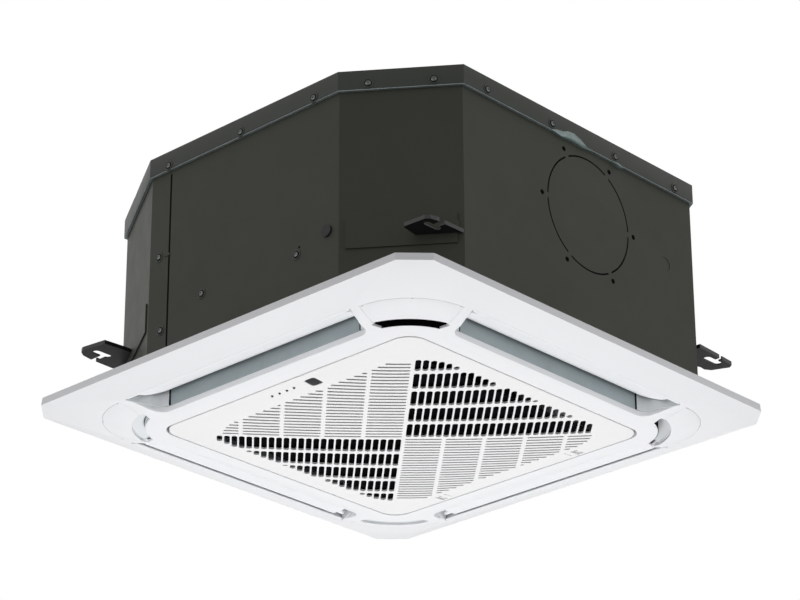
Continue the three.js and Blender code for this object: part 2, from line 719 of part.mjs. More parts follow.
function makeIntakeGrille() {
  const field = roundPrism(fieldHalf + 0.4, FIELD_CORNER, 0, PLATE).subtract(prism(fieldHoles(), -1, PLATE + 1));
  const trayInner = grilleHalf - TRAY_WALL;
  const border = ringLoft([
    roundRing(grilleHalf, GRILLE_CORNER, borderZ),
    roundRing(fieldHalf, FIELD_CORNER, 0),
    roundRing(fieldHalf, FIELD_CORNER, PLATE),
    roundRing(trayInner, GRILLE_CORNER - TRAY_WALL, plateTopAt(trayInner)),
    roundRing(trayInner, GRILLE_CORNER - TRAY_WALL, trayTop),
    roundRing(grilleHalf, GRILLE_CORNER, trayTop),
  ]);
  let grille = border.add(field);
  for (const end of [-1, 1]) {
    const y = end * LATCH_OFFSET;
    const rail = LATCH_BREADTH / 2 + GAP;
    const railTop = latchZ + LATCH_THICKNESS;
    grille = grille
      .add(box(latchInnerX - 8, trayInner + 1, y - rail - 2, y - rail, latchZ - 4, railTop))
      .add(box(latchInnerX - 8, trayInner + 1, y + rail, y + rail + 2, latchZ - 4, railTop))
      .subtract(box(notchX, notchX + NOTCH_LENGTH, y - NOTCH_BREADTH / 2, y + NOTCH_BREADTH / 2, -1, latchZ - 0.1))
      .subtract(barY(HINGE_PIN_RADIUS + RUNNING, end * hingeX * 0.9, end * rimHalf, -hingeX, hingeZ));
  }
  for (const y of [LENS_Y - LENS_WIDTH, LAMPS_Y[0] + 5]) {
    grille = grille.add(box(-lensX - 4, -lensX + 4, y - 1.5, y + 1.5, borderZ - 2, boardBottom - GAP));
  }
  grille = grille.subtract(prism(lensOutline(GAP), -1, boardBottom + 1));
  for (const y of LAMPS_Y) grille = grille.subtract(cylinder(LAMP_RADIUS + GAP, -1, boardBottom + 1, -lampsX, y, 10));
  return grille;
}

function lensOutline(grow = 0) {
  const half = LENS_WIDTH / 2 + grow;
  const points = [];
  for (let corner = 0; corner < 4; corner += 1) {
    for (const part of [0, 0.5, 1]) {
      const angle = ((corner + part) * Math.PI) / 2;
      const sx = corner === 0 || corner === 3 ? 1 : -1;
      const sy = corner < 2 ? 1 : -1;
      const inner = half - LENS_CORNER;
      points.push([-lensX + sx * inner + LENS_CORNER * Math.cos(angle), LENS_Y + sy * inner + LENS_CORNER * Math.sin(angle)]);
    }
  }
  return points;
}

// The border's own slope, as a slab that the lens is cut from.
function makeReceiverLens() {
  const slab = ringLoft([
    roundRing(grilleHalf, GRILLE_CORNER, borderZ),
    roundRing(fieldHalf, FIELD_CORNER, 0),
    roundRing(fieldHalf, FIELD_CORNER, LENS_THICKNESS),
    roundRing(grilleHalf, GRILLE_CORNER, borderZ + LENS_THICKNESS),
  ]);
  const foot = box(-lensX - 3, -lensX + 3, LENS_Y - 3, LENS_Y + 3, borderZ - 2, boardBottom - GAP);
  return slab.intersect(prism(lensOutline(), -1, ceilingZ)).add(foot);
}

function makeDisplayBoard() {
  const top = boardBottom + BOARD_THICKNESS;
  let board = box(-lensX - 8, -lensX + 8, LENS_Y - LENS_WIDTH - 4, LAMPS_Y[0] + 9, boardBottom, top);
  for (const y of LAMPS_Y) {
    board = board.add(cylinder(LAMP_RADIUS, borderZ * 0.62, boardBottom + 0.5, -lampsX, y, 10));
  }
  return board;
}

function makeAirFilter() {
  const half = filterHalf;
  const bar = 8;
  const top = filterBottom + FILTER_THICKNESS;
  const cloth = (filterBottom + top) / 2;
  let filter = roundPrism(half, 2 * bar, filterBottom, top);
  const pitch = (2 * half - bar) / FILTER_CELLS;
  for (let i = 0; i < FILTER_CELLS; i += 1) {
    for (let j = 0; j < FILTER_CELLS; j += 1) {
      const x = -half + bar + i * pitch;
      const y = -half + bar + j * pitch;
      filter = filter.subtract(box(x, x + pitch - bar, y, y + pitch - bar, cloth + 0.5, top + 1));
    }
  }
  return filter;
}

function makeLatch() {
  const plate = box(latchInnerX, grilleHalf - TRAY_WALL - GAP, -LATCH_BREADTH / 2, LATCH_BREADTH / 2, latchZ, latchZ + LATCH_THICKNESS);
  const thumbX = notchX + NOTCH_LENGTH - THUMB_LENGTH - 1.5;
  const thumbZ = plateTopAt(thumbX) - PLATE + 0.8;
  return plate.add(box(thumbX, thumbX + THUMB_LENGTH, -THUMB_BREADTH / 2, THUMB_BREADTH / 2, thumbZ, latchZ + 1));
}

const makeHingePin = () => barY(HINGE_PIN_RADIUS, 0, HINGE_PIN_LENGTH, 0, 0);

// ---------------------------------------------------------------- body casing

// The body's eight-sided outline, moved inwards by an inset.
function octagon(inset) {
  const half = bodyHalf - inset;
  const cornersInOrder = [
    [1, 1, CUT_REAR_RIGHT],
    [-1, 1, CUT_REAR_LEFT],
    [-1, -1, CUT_FRONT_LEFT],
    [1, -1, CUT_FRONT_RIGHT],
  ];
  return cornersInOrder.flatMap(([sx, sy, [cutX, cutY]]) => {
    const length = Math.hypot(cutX, cutY);
    const [nx, ny] = [cutY / length, cutX / length];
    const reach = nx * bodyHalf + ny * (bodyHalf - cutY) - inset;
    const onX = [sx * half, sy * ((reach - nx * half) / ny)];
    const onY = [sx * ((reach - ny * half) / nx), sy * half];
    return sx * sy > 0 ? [onX, onY] : [onY, onX];
  });
}

const octagonPrism = (inset, z0, z1) => prism(octagon(inset), z0, z1);

function makeBodyShell() {
  const flange = bodyBottom + SHEET;
  const shell = cut(
    octagonPrism(0, bodyBottom, wallTop),
    octagonPrism(SHEET, flange, wallTop + 1),
    octagonPrism(BOTTOM_FLANGE, bodyBottom - 1, flange + 1),
  );
  const knockoutZ = bodyBottom + KNOCKOUT_ABOVE_BOTTOM;
  const throughWall = (tool) => tool.rotate([90, 0, 0]).translate([KNOCKOUT_AT_X, 0, knockoutZ]);
  let pressed = shell;
  for (let k = 0; k < 6; k += 1) {
    const start = k * 60 + KNOCKOUT_BRIDGE_DEG / 2;
    const arc = sector(0, 0, KNOCKOUT_RADIUS - KNOCKOUT_SLIT, KNOCKOUT_RADIUS, start, start + 60 - KNOCKOUT_BRIDGE_DEG);
    const angle = radians(k * 60);
    const [hx, hz] = [KNOCKOUT_HOLE_CIRCLE * Math.cos(angle), KNOCKOUT_HOLE_CIRCLE * Math.sin(angle)];
    pressed = pressed.subtract(throughWall(prism(arc, wallInside - 5, bodyHalf + 5, 4)));
    pressed = pressed.subtract(throughWall(cylinder(KNOCKOUT_HOLE, wallInside - 5, bodyHalf + 5, hx, hz, 6)));
  }
  const plugHole = barX(PLUG_RADIUS + GAP, -bodyHalf - 5, -wallInside + 5, PLUG_AT_Y, bodyBottom + PLUG_ABOVE_BOTTOM);
  return cut(pressed, plugHole, gasTool(GAP * 2), liquidTool(GAP * 2), drainTool(GAP * 2));
}

function makeLid() {
  const skirt = octagonPrism(-LID_PROUD, bodyTop - LID_SKIRT, bodyTop);
  return skirt.subtract(octagonPrism(-LID_PROUD + SHEET, bodyTop - LID_SKIRT - 1, lidUnderside));
}

function makeFoamLiner() {
  const hollow = octagonPrism(linerInnerInset, linerBottom - 1, linerCeiling);
  const motorHole = cylinder(MOUNT_CIRCLE + MOUNT_RADIUS + 8, linerCeiling - 1, linerTopZ + 1);
  const block = octagonPrism(linerOuterInset, linerBottom, linerTopZ);
  const plug = barX(PLUG_RADIUS + 4, -bodyHalf, -wallInside + 9, PLUG_AT_Y, bodyBottom + PLUG_ABOVE_BOTTOM);
  return cut(block, hollow, motorHole, plug, gasTool(GAP * 2), liquidTool(GAP * 2), drainTool(GAP * 2));
}

function makeDrainPlug() {
  const z = bodyBottom + PLUG_ABOVE_BOTTOM;
  const stem = barX(PLUG_RADIUS, -bodyHalf - 1, -wallInside + 7, PLUG_AT_Y, z);
  const head = barX(PLUG_RADIUS + 1.5, -bodyHalf - 2.5, -bodyHalf - GAP, PLUG_AT_Y, z);
  return join(stem, head);
}

// A bracket on one cut corner: a slotted plate, lips along its free edges and a flange on the casing.
function makeHanger({ sx, sy, cutSize, outline, slot, mouth }) {
  const z = bodyBottom + HANGER_ABOVE_BOTTOM;
  const [cutX, cutY] = cutSize;
  const length = Math.hypot(cutX, cutY);
  const [nx, ny] = [(sx * cutY) / length, (sy * cutX) / length];
  const [tx, ty] = [-ny, nx];
  const middle = [sx * (bodyHalf - cutX / 2), sy * (bodyHalf - cutY / 2)];
  const at = (along, out) => [middle[0] + tx * along + nx * out, middle[1] + ty * along + ny * out];
  const half = length / 2 - 8;
  const flange = prism([at(-half, GAP), at(half, GAP), at(half, GAP + HANGER_SHEET), at(-half, GAP + HANGER_SHEET)],
    z - HANGER_FLANGE_BELOW, z + HANGER_FLANGE_ABOVE);
  const plate = prism(outline, z, z + HANGER_SHEET);
  const lip = prism(outline, z, z + HANGER_LIP).subtract(prism(shrink(outline, HANGER_SHEET), z - 1, z + HANGER_LIP + 1));
  const behind = prism([at(-length, GAP), at(length, GAP), at(length, -length), at(-length, -length)], z - 60, z + 90);
  const [slotX0, slotX1, slotY0, slotY1] = slot;
  const [mouthX0, mouthX1] = mouth;
  const radius = (slotY1 - slotY0) / 2;
  const slotY = (slotY0 + slotY1) / 2;
  const opening = new THREE.Shape();
  opening.absarc(slotX1 - radius, slotY, radius, -Math.PI / 2, Math.PI / 2, false);
  opening.absarc(slotX0 + radius, slotY, radius, Math.PI / 2, Math.PI * 1.5, false);
  opening.closePath();
  const out = sy > 0 ? [slotY, slotY + 60] : [slotY - 60, slotY];
  return cut(
    join(plate, lip).subtract(behind).add(flange),
    prism(opening, z - 1, z + 40),
    box(mouthX0, mouthX1, out[0], out[1], z - 1, z + 40),
  );
}

// An outline with each corner drawn in towards its middle by about a distance.
function shrink(outline, distance) {
  const count = outline.length;
  const middle = [0, 1].map((k) => outline.reduce((sum, point) => sum + point[k], 0) / count);
  return outline.map(([x, y]) => {
    const away = Math.hypot(x - middle[0], y - middle[1]);
    const scale = (away - distance * 1.3) / away;
    return [middle[0] + (x - middle[0]) * scale, middle[1] + (y - middle[1]) * scale];
  });
}

// Outlines, slots and mouths of the four brackets, on the body's cut corners.
function hangers() {
  const b = bodyHalf;
  return [
    {
      name: 'rear_left', sx: -1, sy: 1, cutSize: CUT_REAR_LEFT,
      outline: [[-b + 66, b - 6], [-b + 30, b - 7], [-b + 15, b - 9.5], [-b + 7, b - 15], [-b + 4.5, b - 20],
        [-b + 9, b - 56], [-b + 40, b - 59], [-b + 130, b - 59]],
      slot: [-b + 15, -b + 42, b - 34, b - 24],
      mouth: [-b + 30, -b + 38],
    },
    {
      name: 'front_left', sx: -1, sy: -1, cutSize: CUT_FRONT_LEFT,
      outline: [[-b + 110, -b + 44], [-b + 53, -b + 44], [-b + 28, -b + 40], [-b + 25.5, -b + 38], [-b + 27, -b + 8],
        [-b + 31, -b + 3], [-b + 40, -b + 1], [-b + 100, -b]],
      slot: [-b + 34, -b + 59, -b + 10, -b + 18],
      mouth: [-b + 44, -b + 53],
    },
    {
      name: 'front_right', sx: 1, sy: -1, cutSize: CUT_FRONT_RIGHT,
      outline: [[b - 58, -b + 5], [b - 23, -b + 7], [b + 12, -b + 10], [b + 16, -b + 16], [b + 7, -b + 38], [b - 1, -b + 43],
        [b - 10, -b + 42], [b - 60, -b + 60]],
      slot: [b - 30, b, -b + 14, -b + 24],
      mouth: [b - 16, b - 10],
    },
    {
      name: 'rear_right', sx: 1, sy: 1, cutSize: CUT_REAR_RIGHT,
      outline: [[b - 100, b - 6], [b - 40, b - 7], [b - 30, b - 9], [b - 26, b - 13], [b - 25, b - 38], [b - 28, b - 42],
        [b - 53, b - 46], [b - 110, b - 46]],
      slot: [b - 60, b - 34, b - 24, b - 15],
      mouth: [b - 52, b - 43],
    },
  ];
}

// ---------------------------------------------------------------- fan

function makeFanMotor() {
  const bodyOfMotor = turned([
    [0, motorBottom], [MOTOR_RADIUS * 0.6, motorBottom], [MOTOR_RADIUS, motorBottom + 10],
    [MOTOR_RADIUS, motorTop - 8], [MOTOR_RADIUS * 0.7, motorTop], [0, motorTop],
  ], 32);
  let motor = bodyOfMotor;
  for (let k = 0; k < 3; k += 1) {
    const foot = box(MOTOR_RADIUS * 0.5, MOUNT_CIRCLE + MOUNT_RADIUS, -MOUNT_RADIUS, MOUNT_RADIUS, motorTop - 4, motorTop);
    motor = motor.add(foot.rotate([0, 0, 120 * k]));
  }
  return motor.subtract(cylinder(SHAFT_RADIUS + RUNNING, motorBottom - 1, motorBottom + SHAFT_IN_MOTOR));
}

const makeMotorShaft = () => cylinder(SHAFT_RADIUS, nutBottom - 4, motorBottom + SHAFT_IN_MOTOR - GAP);

function makeMotorMount() {
  return turned([
    [0, mountBottom], [MOUNT_RADIUS, mountBottom], [MOUNT_RADIUS, mountBottom + 7], [MOUNT_RADIUS - 2.5, mountBottom + 9],
    [MOUNT_RADIUS - 2.5, mountTop - 9], [MOUNT_RADIUS, mountTop - 7], [MOUNT_RADIUS, mountTop], [0, mountTop],
  ], 16, MOUNT_CIRCLE, 0);
}

// A backward-curved turbo fan: a dished back plate, an inlet ring and blades between them.
function makeFanImpeller() {
  const plate = turned([
    [SHAFT_RADIUS + GAP, hubBottom], [SHAFT_RADIUS + HUB_WALL, hubBottom], [SHAFT_RADIUS + HUB_WALL, fanTop - 5],
    [FAN_RADIUS, fanTop - 5], [FAN_RADIUS, fanTop - 2],
    [SHAFT_RADIUS + GAP, fanTop - 2], [SHAFT_RADIUS + GAP, hubBottom],
  ], 28);
  const shroudRise = 18;
  const shroud = turned([
    [FAN_INLET, fanBottom], [FAN_INLET + 3, fanBottom], [FAN_INLET + 6, fanBottom + shroudRise - 4],
    [FAN_RADIUS, fanBottom + shroudRise + 4], [FAN_RADIUS, fanBottom + shroudRise + 7],
    [FAN_INLET + 3, fanBottom + shroudRise], [FAN_INLET, fanBottom],
  ], 28);
  const bladeShape = new THREE.Shape();
  bladeShape.moveTo(BLADE_START, 0);
  bladeShape.quadraticCurveTo(BLADE_START + 30, -8, FAN_RADIUS - 8, -46);
  bladeShape.lineTo(FAN_RADIUS - 6, -40);
  bladeShape.quadraticCurveTo(BLADE_START + 30, 0, BLADE_START, 5);
  bladeShape.closePath();
  const blade = prism(bladeShape, fanBottom + shroudRise - 6, fanTop - 3, 6).subtract(
    turned([[FAN_INLET - 30, fanBottom - 20], [FAN_RADIUS + 20, fanBottom - 20], [FAN_RADIUS + 20, fanBottom + shroudRise + 5],
      [FAN_RADIUS, fanBottom + shroudRise + 5], [FAN_INLET + 4, fanBottom + shroudRise - 2], [FAN_INLET - 30, fanBottom + shroudRise - 8],
      [FAN_INLET - 30, fanBottom - 20]], 28),
  );
  let impeller = join(plate, shroud);
  for (let k = 0; k < BLADES; k += 1) impeller = impeller.add(blade.rotate([0, 0, (360 / BLADES) * k]));
  return impeller;
}

function makeFanNut() {
  const body = cylinder(NUT_RADIUS, nutBottom, nutTop, 0, 0, 6);
  return body.subtract(cylinder(SHAFT_RADIUS + GAP, nutBottom - 1, nutTop + 1));
}

function makeBellMouth() {
  const curve = [0, 0.35, 0.7, 1].map((t) => {
    const angle = (Math.PI / 2) * t;
    const drop = BELL_MOUTH - BELL_THROAT - 4;
    return [BELL_THROAT + drop * (1 - Math.sin(angle)), bellBottom + drop * 1.6 * (1 - Math.cos(angle))];
  });
  const outward = ([r, z]) => [r + BELL_SHEET, z + BELL_SHEET * 0.6];
  const inner = [[BELL_MOUTH, bellBottom], ...curve, [BELL_THROAT, bellTop]];
  const outer = [[BELL_THROAT + BELL_SHEET, bellTop], ...curve.map(outward).reverse(), [BELL_MOUTH, bellBottom + BELL_SHEET]];
  return turned([...inner, ...outer, inner[0]], 32);
}

// ---------------------------------------------------------------- heat exchanger and pipes

function roundPrism(half, radius, z0, z1) {
  return prism(roundRing(half, radius, 0).map(([x, y]) => [x, y]), z0, z1);
}

function makeHeatExchanger() {
  const ring = roundPrism(coilOuter, COIL_CORNER + COIL_THICKNESS, coilBottom, coilTop).subtract(
    roundPrism(COIL_INNER, COIL_CORNER, coilBottom - 1, coilTop + 1),
  );
  return ring.subtract(box(COIL_END, bodyHalf, COIL_END, bodyHalf, 0, bodyTop));
}

const makeEndPlate = () => box(COIL_INNER - 3, coilOuter + 3, COIL_END + GAP, COIL_END + GAP + END_PLATE, coilBottom, coilTop);

const pipeLineY = COIL_END + END_PLATE + 2 * GAP + PIPE_RUN;

// A pipe from the coil's end plate round a bend and out through the right wall.
function pipeAlong(radius, z, wall) {
  const shape = new THREE.Shape();
  shape.absarc(0, 0, radius, 0, Math.PI * 2, false);
  if (wall > 0) {
    const bore = new THREE.Path();
    bore.absarc(0, 0, radius - wall, 0, Math.PI * 2, true);
    shape.holes.push(bore);
  }
  const start = COIL_END + END_PLATE + 2 * GAP;
  const path = new THREE.CatmullRomCurve3([
    [coilMid, start], [coilMid, start + PIPE_RUN * 0.35], [coilMid + PIPE_RUN * 0.35, pipeLineY - PIPE_RUN * 0.1],
    [coilMid + PIPE_RUN, pipeLineY], [bodyHalf, pipeLineY], [bodyHalf + PIPE_STUB, pipeLineY],
  ].map(([x, y]) => new THREE.Vector3(x, y, z)), false, 'centripetal');
  return solid(new THREE.ExtrudeGeometry(shape, { steps: 12, extrudePath: path, curveSegments: 4, bevelEnabled: false }));
}

const gasZ = bodyBottom + GAS_PIPE_LEVEL;
const liquidZ = bodyBottom + LIQUID_PIPE_LEVEL;
const gasTool = (room) => barX(GAS_PIPE_RADIUS + room, bodyHalf - 40, bodyHalf + 40, pipeLineY, gasZ);
const liquidTool = (room) => barX(LIQUID_PIPE_RADIUS + room, bodyHalf - 40, bodyHalf + 40, pipeLineY, liquidZ);

function makeFlareNut(pipeRadius, z) {
  const end = bodyHalf + PIPE_STUB;
  const nut = new THREE.CylinderGeometry(pipeRadius * 1.9, pipeRadius * 1.9, NUT_LENGTH, 6);
  nut.rotateZ(Math.PI / 2);
  nut.translate(end - NUT_LENGTH / 2, pipeLineY, z);
  return solid(nut).subtract(barX(pipeRadius + GAP, end - NUT_LENGTH - 1, end + 1, pipeLineY, z));
}

function makePipePlate() {
  const margin = GAS_PIPE_RADIUS * 1.9 + 4;
  const plate = box(bodyHalf + GAP, bodyHalf + GAP + SHEET, pipeLineY - margin, pipeLineY + margin, gasZ - margin, liquidZ + margin);
  return cut(plate, gasTool(GAP), liquidTool(GAP));
}

// ---------------------------------------------------------------- drain pan and pump

function makeDrainPan() {
  let pan = octagonPrism(panInset, panBottom, panTop);
  const trough = roundPrism(coilOuter + 4, COIL_CORNER + COIL_THICKNESS + 4, panTop - PAN_TROUGH, panTop + 1).subtract(
    roundPrism(COIL_INNER - 4, COIL_CORNER - 4, panTop - PAN_TROUGH - 1, panTop + 2),
  );
  pan = cut(pan, trough, cylinder(PAN_HOLE, panBottom - 1, panTop + 1, 0, 0, 48));
  for (let k = 0; k < 4; k += 1) {
    const notch = box(-bodyHalf, -coilOuter - PAN_LIP, -outletHalf, outletHalf, panBottom - 1, panTop + 1);
    pan = pan.subtract(quarterTurn(notch, k));
  }
  return pan.subtract(cylinder(SUMP_RADIUS, panTop - SUMP_DEPTH, panTop + 1, PUMP_AT, PUMP_AT));
}

const chamferNormal = (() => {
  const [cutX, cutY] = CUT_REAR_RIGHT;
  const length = Math.hypot(cutX, cutY);
  return [cutY / length, cutX / length];
})();
const drainReach = chamferNormal[0] * (bodyHalf - PUMP_AT) + chamferNormal[1] * (bodyHalf - CUT_REAR_RIGHT[1] - PUMP_AT);

// A tube from the pump out through the cut corner.
function tubeToCorner(radius, from, to) {
  const geometry = new THREE.CylinderGeometry(radius, radius, to - from, 20);
  geometry.rotateZ(-Math.PI / 2);
  geometry.translate((from + to) / 2, 0, 0);
  geometry.rotateZ(Math.atan2(chamferNormal[1], chamferNormal[0]));
  geometry.translate(PUMP_AT, PUMP_AT, drainZ);
  return solid(geometry);
}

const drainTool = (room) => tubeToCorner(DRAIN_TUBE_RADIUS + room, PUMP_RADIUS + 4, drainReach + 30);

function makeDrainOutlet() {
  const from = PUMP_RADIUS + GAP;
  const to = drainReach + DRAIN_STUB;
  return tubeToCorner(DRAIN_TUBE_RADIUS, from, to).subtract(
    tubeToCorner(DRAIN_TUBE_RADIUS - DRAIN_TUBE_WALL, from - 5, to + 5),
  );
}

function makeDrainPump() {
  const half = PUMP_FLANGE / 2;
  const flangeTop = pumpBase + PUMP_FLANGE_THICKNESS;
  const flange = box(PUMP_AT - half, PUMP_AT + half, PUMP_AT - half, PUMP_AT + half, pumpBase, flangeTop);
  const bodyOfPump = cylinder(PUMP_RADIUS, pumpBase, pumpBase + PUMP_HEIGHT, PUMP_AT, PUMP_AT);
  const inlet = cylinder(PUMP_INLET_RADIUS, floatZ - 4, pumpBase + 1, PUMP_AT, PUMP_AT, 16);
  const rod = cylinder(FLOAT_ROD, floatZ - 2.5, pumpBase + 1, PUMP_AT + FLOAT_OFFSET, PUMP_AT, 12);
  const stop = cylinder(FLOAT_ROD + 1.8, floatZ - 2.5, floatZ - GAP, PUMP_AT + FLOAT_OFFSET, PUMP_AT, 12);
  return join(flange, bodyOfPump, inlet, rod, stop);
}

function makePumpFloat() {
  return turned([
    [FLOAT_ROD + GAP, floatZ], [FLOAT_RADIUS, floatZ], [FLOAT_RADIUS, floatZ + FLOAT_HEIGHT],
    [FLOAT_ROD + GAP, floatZ + FLOAT_HEIGHT], [FLOAT_ROD + GAP, floatZ],
  ], 20, PUMP_AT + FLOAT_OFFSET, PUMP_AT);
}

// ---------------------------------------------------------------- control box

function makeControlBox() {
  const half = BOX_LENGTH / 2;
  const tray = box(BOX_INNER_X, boxOuterX, -half, half, boxBottom, boxTop).subtract(
    box(BOX_INNER_X + BOX_WALL, boxOuterX - BOX_WALL, -half + BOX_WALL, half - BOX_WALL, boxBottom - 1, boxTop - BOX_WALL),
  );
  const posts = [-1, 1].flatMap((ex) => [-1, 1].map((ey) => cylinder(
    2.5, controlBoardZ + GAP, boxTop - 1, boxMiddleX + ex * 20, ey * (half - 12), 10,
  )));
  return join(tray, ...posts);
}

function makeBoxCover() {
  const half = BOX_LENGTH / 2;
  const top = boxBottom - GAP;
  const plate = box(BOX_INNER_X, boxOuterX, -half, half, top - BOX_WALL, top);
  const lip = BOX_WALL + GAP;
  const rim = box(BOX_INNER_X + lip, boxOuterX - lip, -half + lip, half - lip, top - 1, boxBottom + 3).subtract(
    box(BOX_INNER_X + lip + 1, boxOuterX - lip - 1, -half + lip + 1, half - lip - 1, top - 0.5, boxBottom + 4),
  );
  return plate.add(rim);
}

function makeControlBoard() {
  const half = controlBoardHalf;
  const bottom = controlBoardZ - BOARD_THICKNESS;
  const under = bottom + BOARD_THICKNESS / 8;
  const board = box(BOX_INNER_X + BOARD_SIDE, boxOuterX - BOARD_SIDE, -half, half, bottom, controlBoardZ);
  const relayY = -half * 0.65;
  return join(
    board,
    box(boxMiddleX - BOX_WIDTH * 0.32, boxMiddleX - BOX_WIDTH * 0.07, relayY, relayY + half * 0.27, under - CHIP_HEIGHT, under),
    cylinder(BOX_WIDTH / 7, under - CHIP_HEIGHT, under, boxMiddleX + BOX_WIDTH / 7, relayY + half * 0.13, 16),
    box(boxMiddleX - BOX_WIDTH * 0.27, boxMiddleX + BOX_WIDTH * 0.21, 0, half * 0.3, under - CHIP_HEIGHT * 0.6, under),
  );
}

function makeTerminalBlock() {
  const top = controlBoardZ - BOARD_THICKNESS - GAP;
  const bottom = top - TERMINAL_HEIGHT;
  const stop = controlBoardHalf - TERMINAL_FROM_END;
  const start = stop - TERMINAL_LENGTH;
  const half = TERMINAL_WIDTH / 2;
  const pitch = TERMINAL_LENGTH / (TERMINALS + 0.3);
  let block = box(boxMiddleX - half, boxMiddleX + half, start, stop, bottom, top);
  for (let k = 0; k < TERMINALS; k += 1) {
    const y = start + pitch * (k + 0.3);
    block = block.subtract(box(boxMiddleX - half * 0.6, boxMiddleX + half * 0.6, y, y + pitch * 0.7, bottom - 1, top - TERMINAL_HEIGHT * 0.4));
  }
  return block;
}

// ---------------------------------------------------------------- assembly

sides.forEach((side, k) => {
  const turn = new THREE.Group();
  turn.rotation.z = (Math.PI / 2) * k;
  group.add(turn);
  add(`vane_${side}`, makeVane(), white, turn);
  add(`vane_motor_${side}`, makeVaneMotor(), motorSteel, turn);
});
corners.forEach((corner, k) => {
  const turn = new THREE.Group();
  turn.rotation.z = (Math.PI / 2) * k;
  group.add(turn);
  add(`corner_cover_${corner}`, makeCornerCover(), white, turn);
  add(`panel_duct_${corner}`, makeDuctCorner(), ductGrey, turn);
});
add('panel_frame', makePanelFrame(), white);
add('panel_seal', makePanelSeal(), sealBlack);

add('intake_grille', makeIntakeGrille(), grilleWhite);
add('air_filter', makeAirFilter(), filterGrey);
add('receiver_lens', makeReceiverLens(), dark);
add('display_board', makeDisplayBoard(), boardGreen);
for (const [place, end] of [['front', -1], ['rear', 1]]) {
  const latchAt = new THREE.Group();
  latchAt.position.y = end * LATCH_OFFSET;
  group.add(latchAt);
  add(`grille_latch_${place}`, makeLatch(), grilleWhite, latchAt);
  const pinAt = new THREE.Group();
  pinAt.position.set(-hingeX, end * pinMiddleY - HINGE_PIN_LENGTH / 2, hingeZ);
  group.add(pinAt);
  add(`hinge_pin_${place}`, makeHingePin(), motorSteel, pinAt);
}

add('body_shell', makeBodyShell(), coatedSteel);
add('lid', makeLid(), coatedSteel);
add('foam_liner', makeFoamLiner(), foamWhite);
add('drain_plug', makeDrainPlug(), rubber);
for (const hanger of hangers()) add(`hanger_bracket_${hanger.name}`, makeHanger(hanger), hangerSteel);

add('fan_motor', makeFanMotor(), motorSteel);
add('motor_shaft', makeMotorShaft(), motorSteel);
['a', 'b', 'c'].forEach((letter, k) => {
  const turn = new THREE.Group();
  turn.rotation.z = ((Math.PI * 2) / 3) * k;
  group.add(turn);
  add(`motor_mount_${letter}`, makeMotorMount(), rubber, turn);
});
add('fan_impeller', makeFanImpeller(), greyPlastic);
add('fan_nut', makeFanNut(), motorSteel);
add('bell_mouth', makeBellMouth(), greyPlastic);

add('heat_exchanger', makeHeatExchanger(), finAluminium);
add('coil_end_plate_right', makeEndPlate(), galvanised);
const rearEnd = makeEndPlate().mirror([1, -1, 0]);
add('coil_end_plate_rear', rearEnd, galvanised);
add('gas_pipe', pipeAlong(GAS_PIPE_RADIUS, gasZ, PIPE_WALL), copper);
add('liquid_pipe', pipeAlong(LIQUID_PIPE_RADIUS, liquidZ, PIPE_WALL), copper);
add('gas_flare_nut', makeFlareNut(GAS_PIPE_RADIUS, gasZ), brass);
add('liquid_flare_nut', makeFlareNut(LIQUID_PIPE_RADIUS, liquidZ), brass);
add('pipe_plate', makePipePlate(), coatedSteel);

add('drain_pan', makeDrainPan(), foamWhite);
add('drain_pump', makeDrainPump(), greyPlastic);
add('pump_float', makePumpFloat(), white);
add('drain_outlet', makeDrainOutlet(), white);

add('control_box', makeControlBox(), galvanised);
add('control_box_cover', makeBoxCover(), galvanised);
add('control_board', makeControlBoard(), boardGreen);
add('terminal_block', makeTerminalBlock(), dark);

export default group;
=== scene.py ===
"""Looks for a compact four-way ceiling cassette air conditioner, seen from below.

Lengths are in millimetres up to finish_piece(), which scales each mesh to metres.
Left is -X, front is -Y, right is +X and rear is +Y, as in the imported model.
"""

import math

import bpy
from mathutils import Matrix, Vector


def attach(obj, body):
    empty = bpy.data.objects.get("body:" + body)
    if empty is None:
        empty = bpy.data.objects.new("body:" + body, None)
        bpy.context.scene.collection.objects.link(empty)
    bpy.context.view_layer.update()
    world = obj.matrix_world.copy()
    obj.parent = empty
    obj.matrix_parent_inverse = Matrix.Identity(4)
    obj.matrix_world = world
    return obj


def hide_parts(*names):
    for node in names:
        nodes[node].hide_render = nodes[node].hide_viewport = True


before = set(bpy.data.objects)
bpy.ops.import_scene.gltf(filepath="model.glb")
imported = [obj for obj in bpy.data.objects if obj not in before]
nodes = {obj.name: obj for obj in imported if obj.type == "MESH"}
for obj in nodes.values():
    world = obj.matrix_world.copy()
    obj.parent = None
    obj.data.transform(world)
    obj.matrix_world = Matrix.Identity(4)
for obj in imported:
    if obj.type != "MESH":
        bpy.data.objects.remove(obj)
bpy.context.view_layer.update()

MM = 0.001

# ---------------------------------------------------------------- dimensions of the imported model

GRILLE_HALF = 208.5
GRILLE_CORNER = 26.0
OPENING_HALF = 210.5
SEAM_CORNER = 24.5
INNER_LIP = 238.0
OUTER_LIP = 285.5
RIM_HALF = 325.0
OUTLET_CORNER = 16
OUTLET_STRAIGHT = 160  # half length of the inner lip between its round corners
OUTLET_END = 187.7
RING_CORNER = 66.0
OUTER_CORNER = 87.0
CORNER_CENTRE = INNER_LIP - RING_CORNER
COVER_CENTRE = OUTER_LIP - OUTER_CORNER
SLOT_INNER = 70.0
SLOT_OUTER = 86.0
BORDER_Z = 7.8
TRAY_TOP = 16.8
HINGE_X, HINGE_Z = -195.5, 11.2
PIN_BORE = 2.15
CATCH_Y = 114
RING_Z = 10.0
MID_Z = 13.0
OUTER_LIP_Z = 19.5
RIM_Z = 31.0
CEILING_Z = 40.5
BODY_BOTTOM = 54.0
BODY_TOP = 324.0
BODY_HALF = 290.0
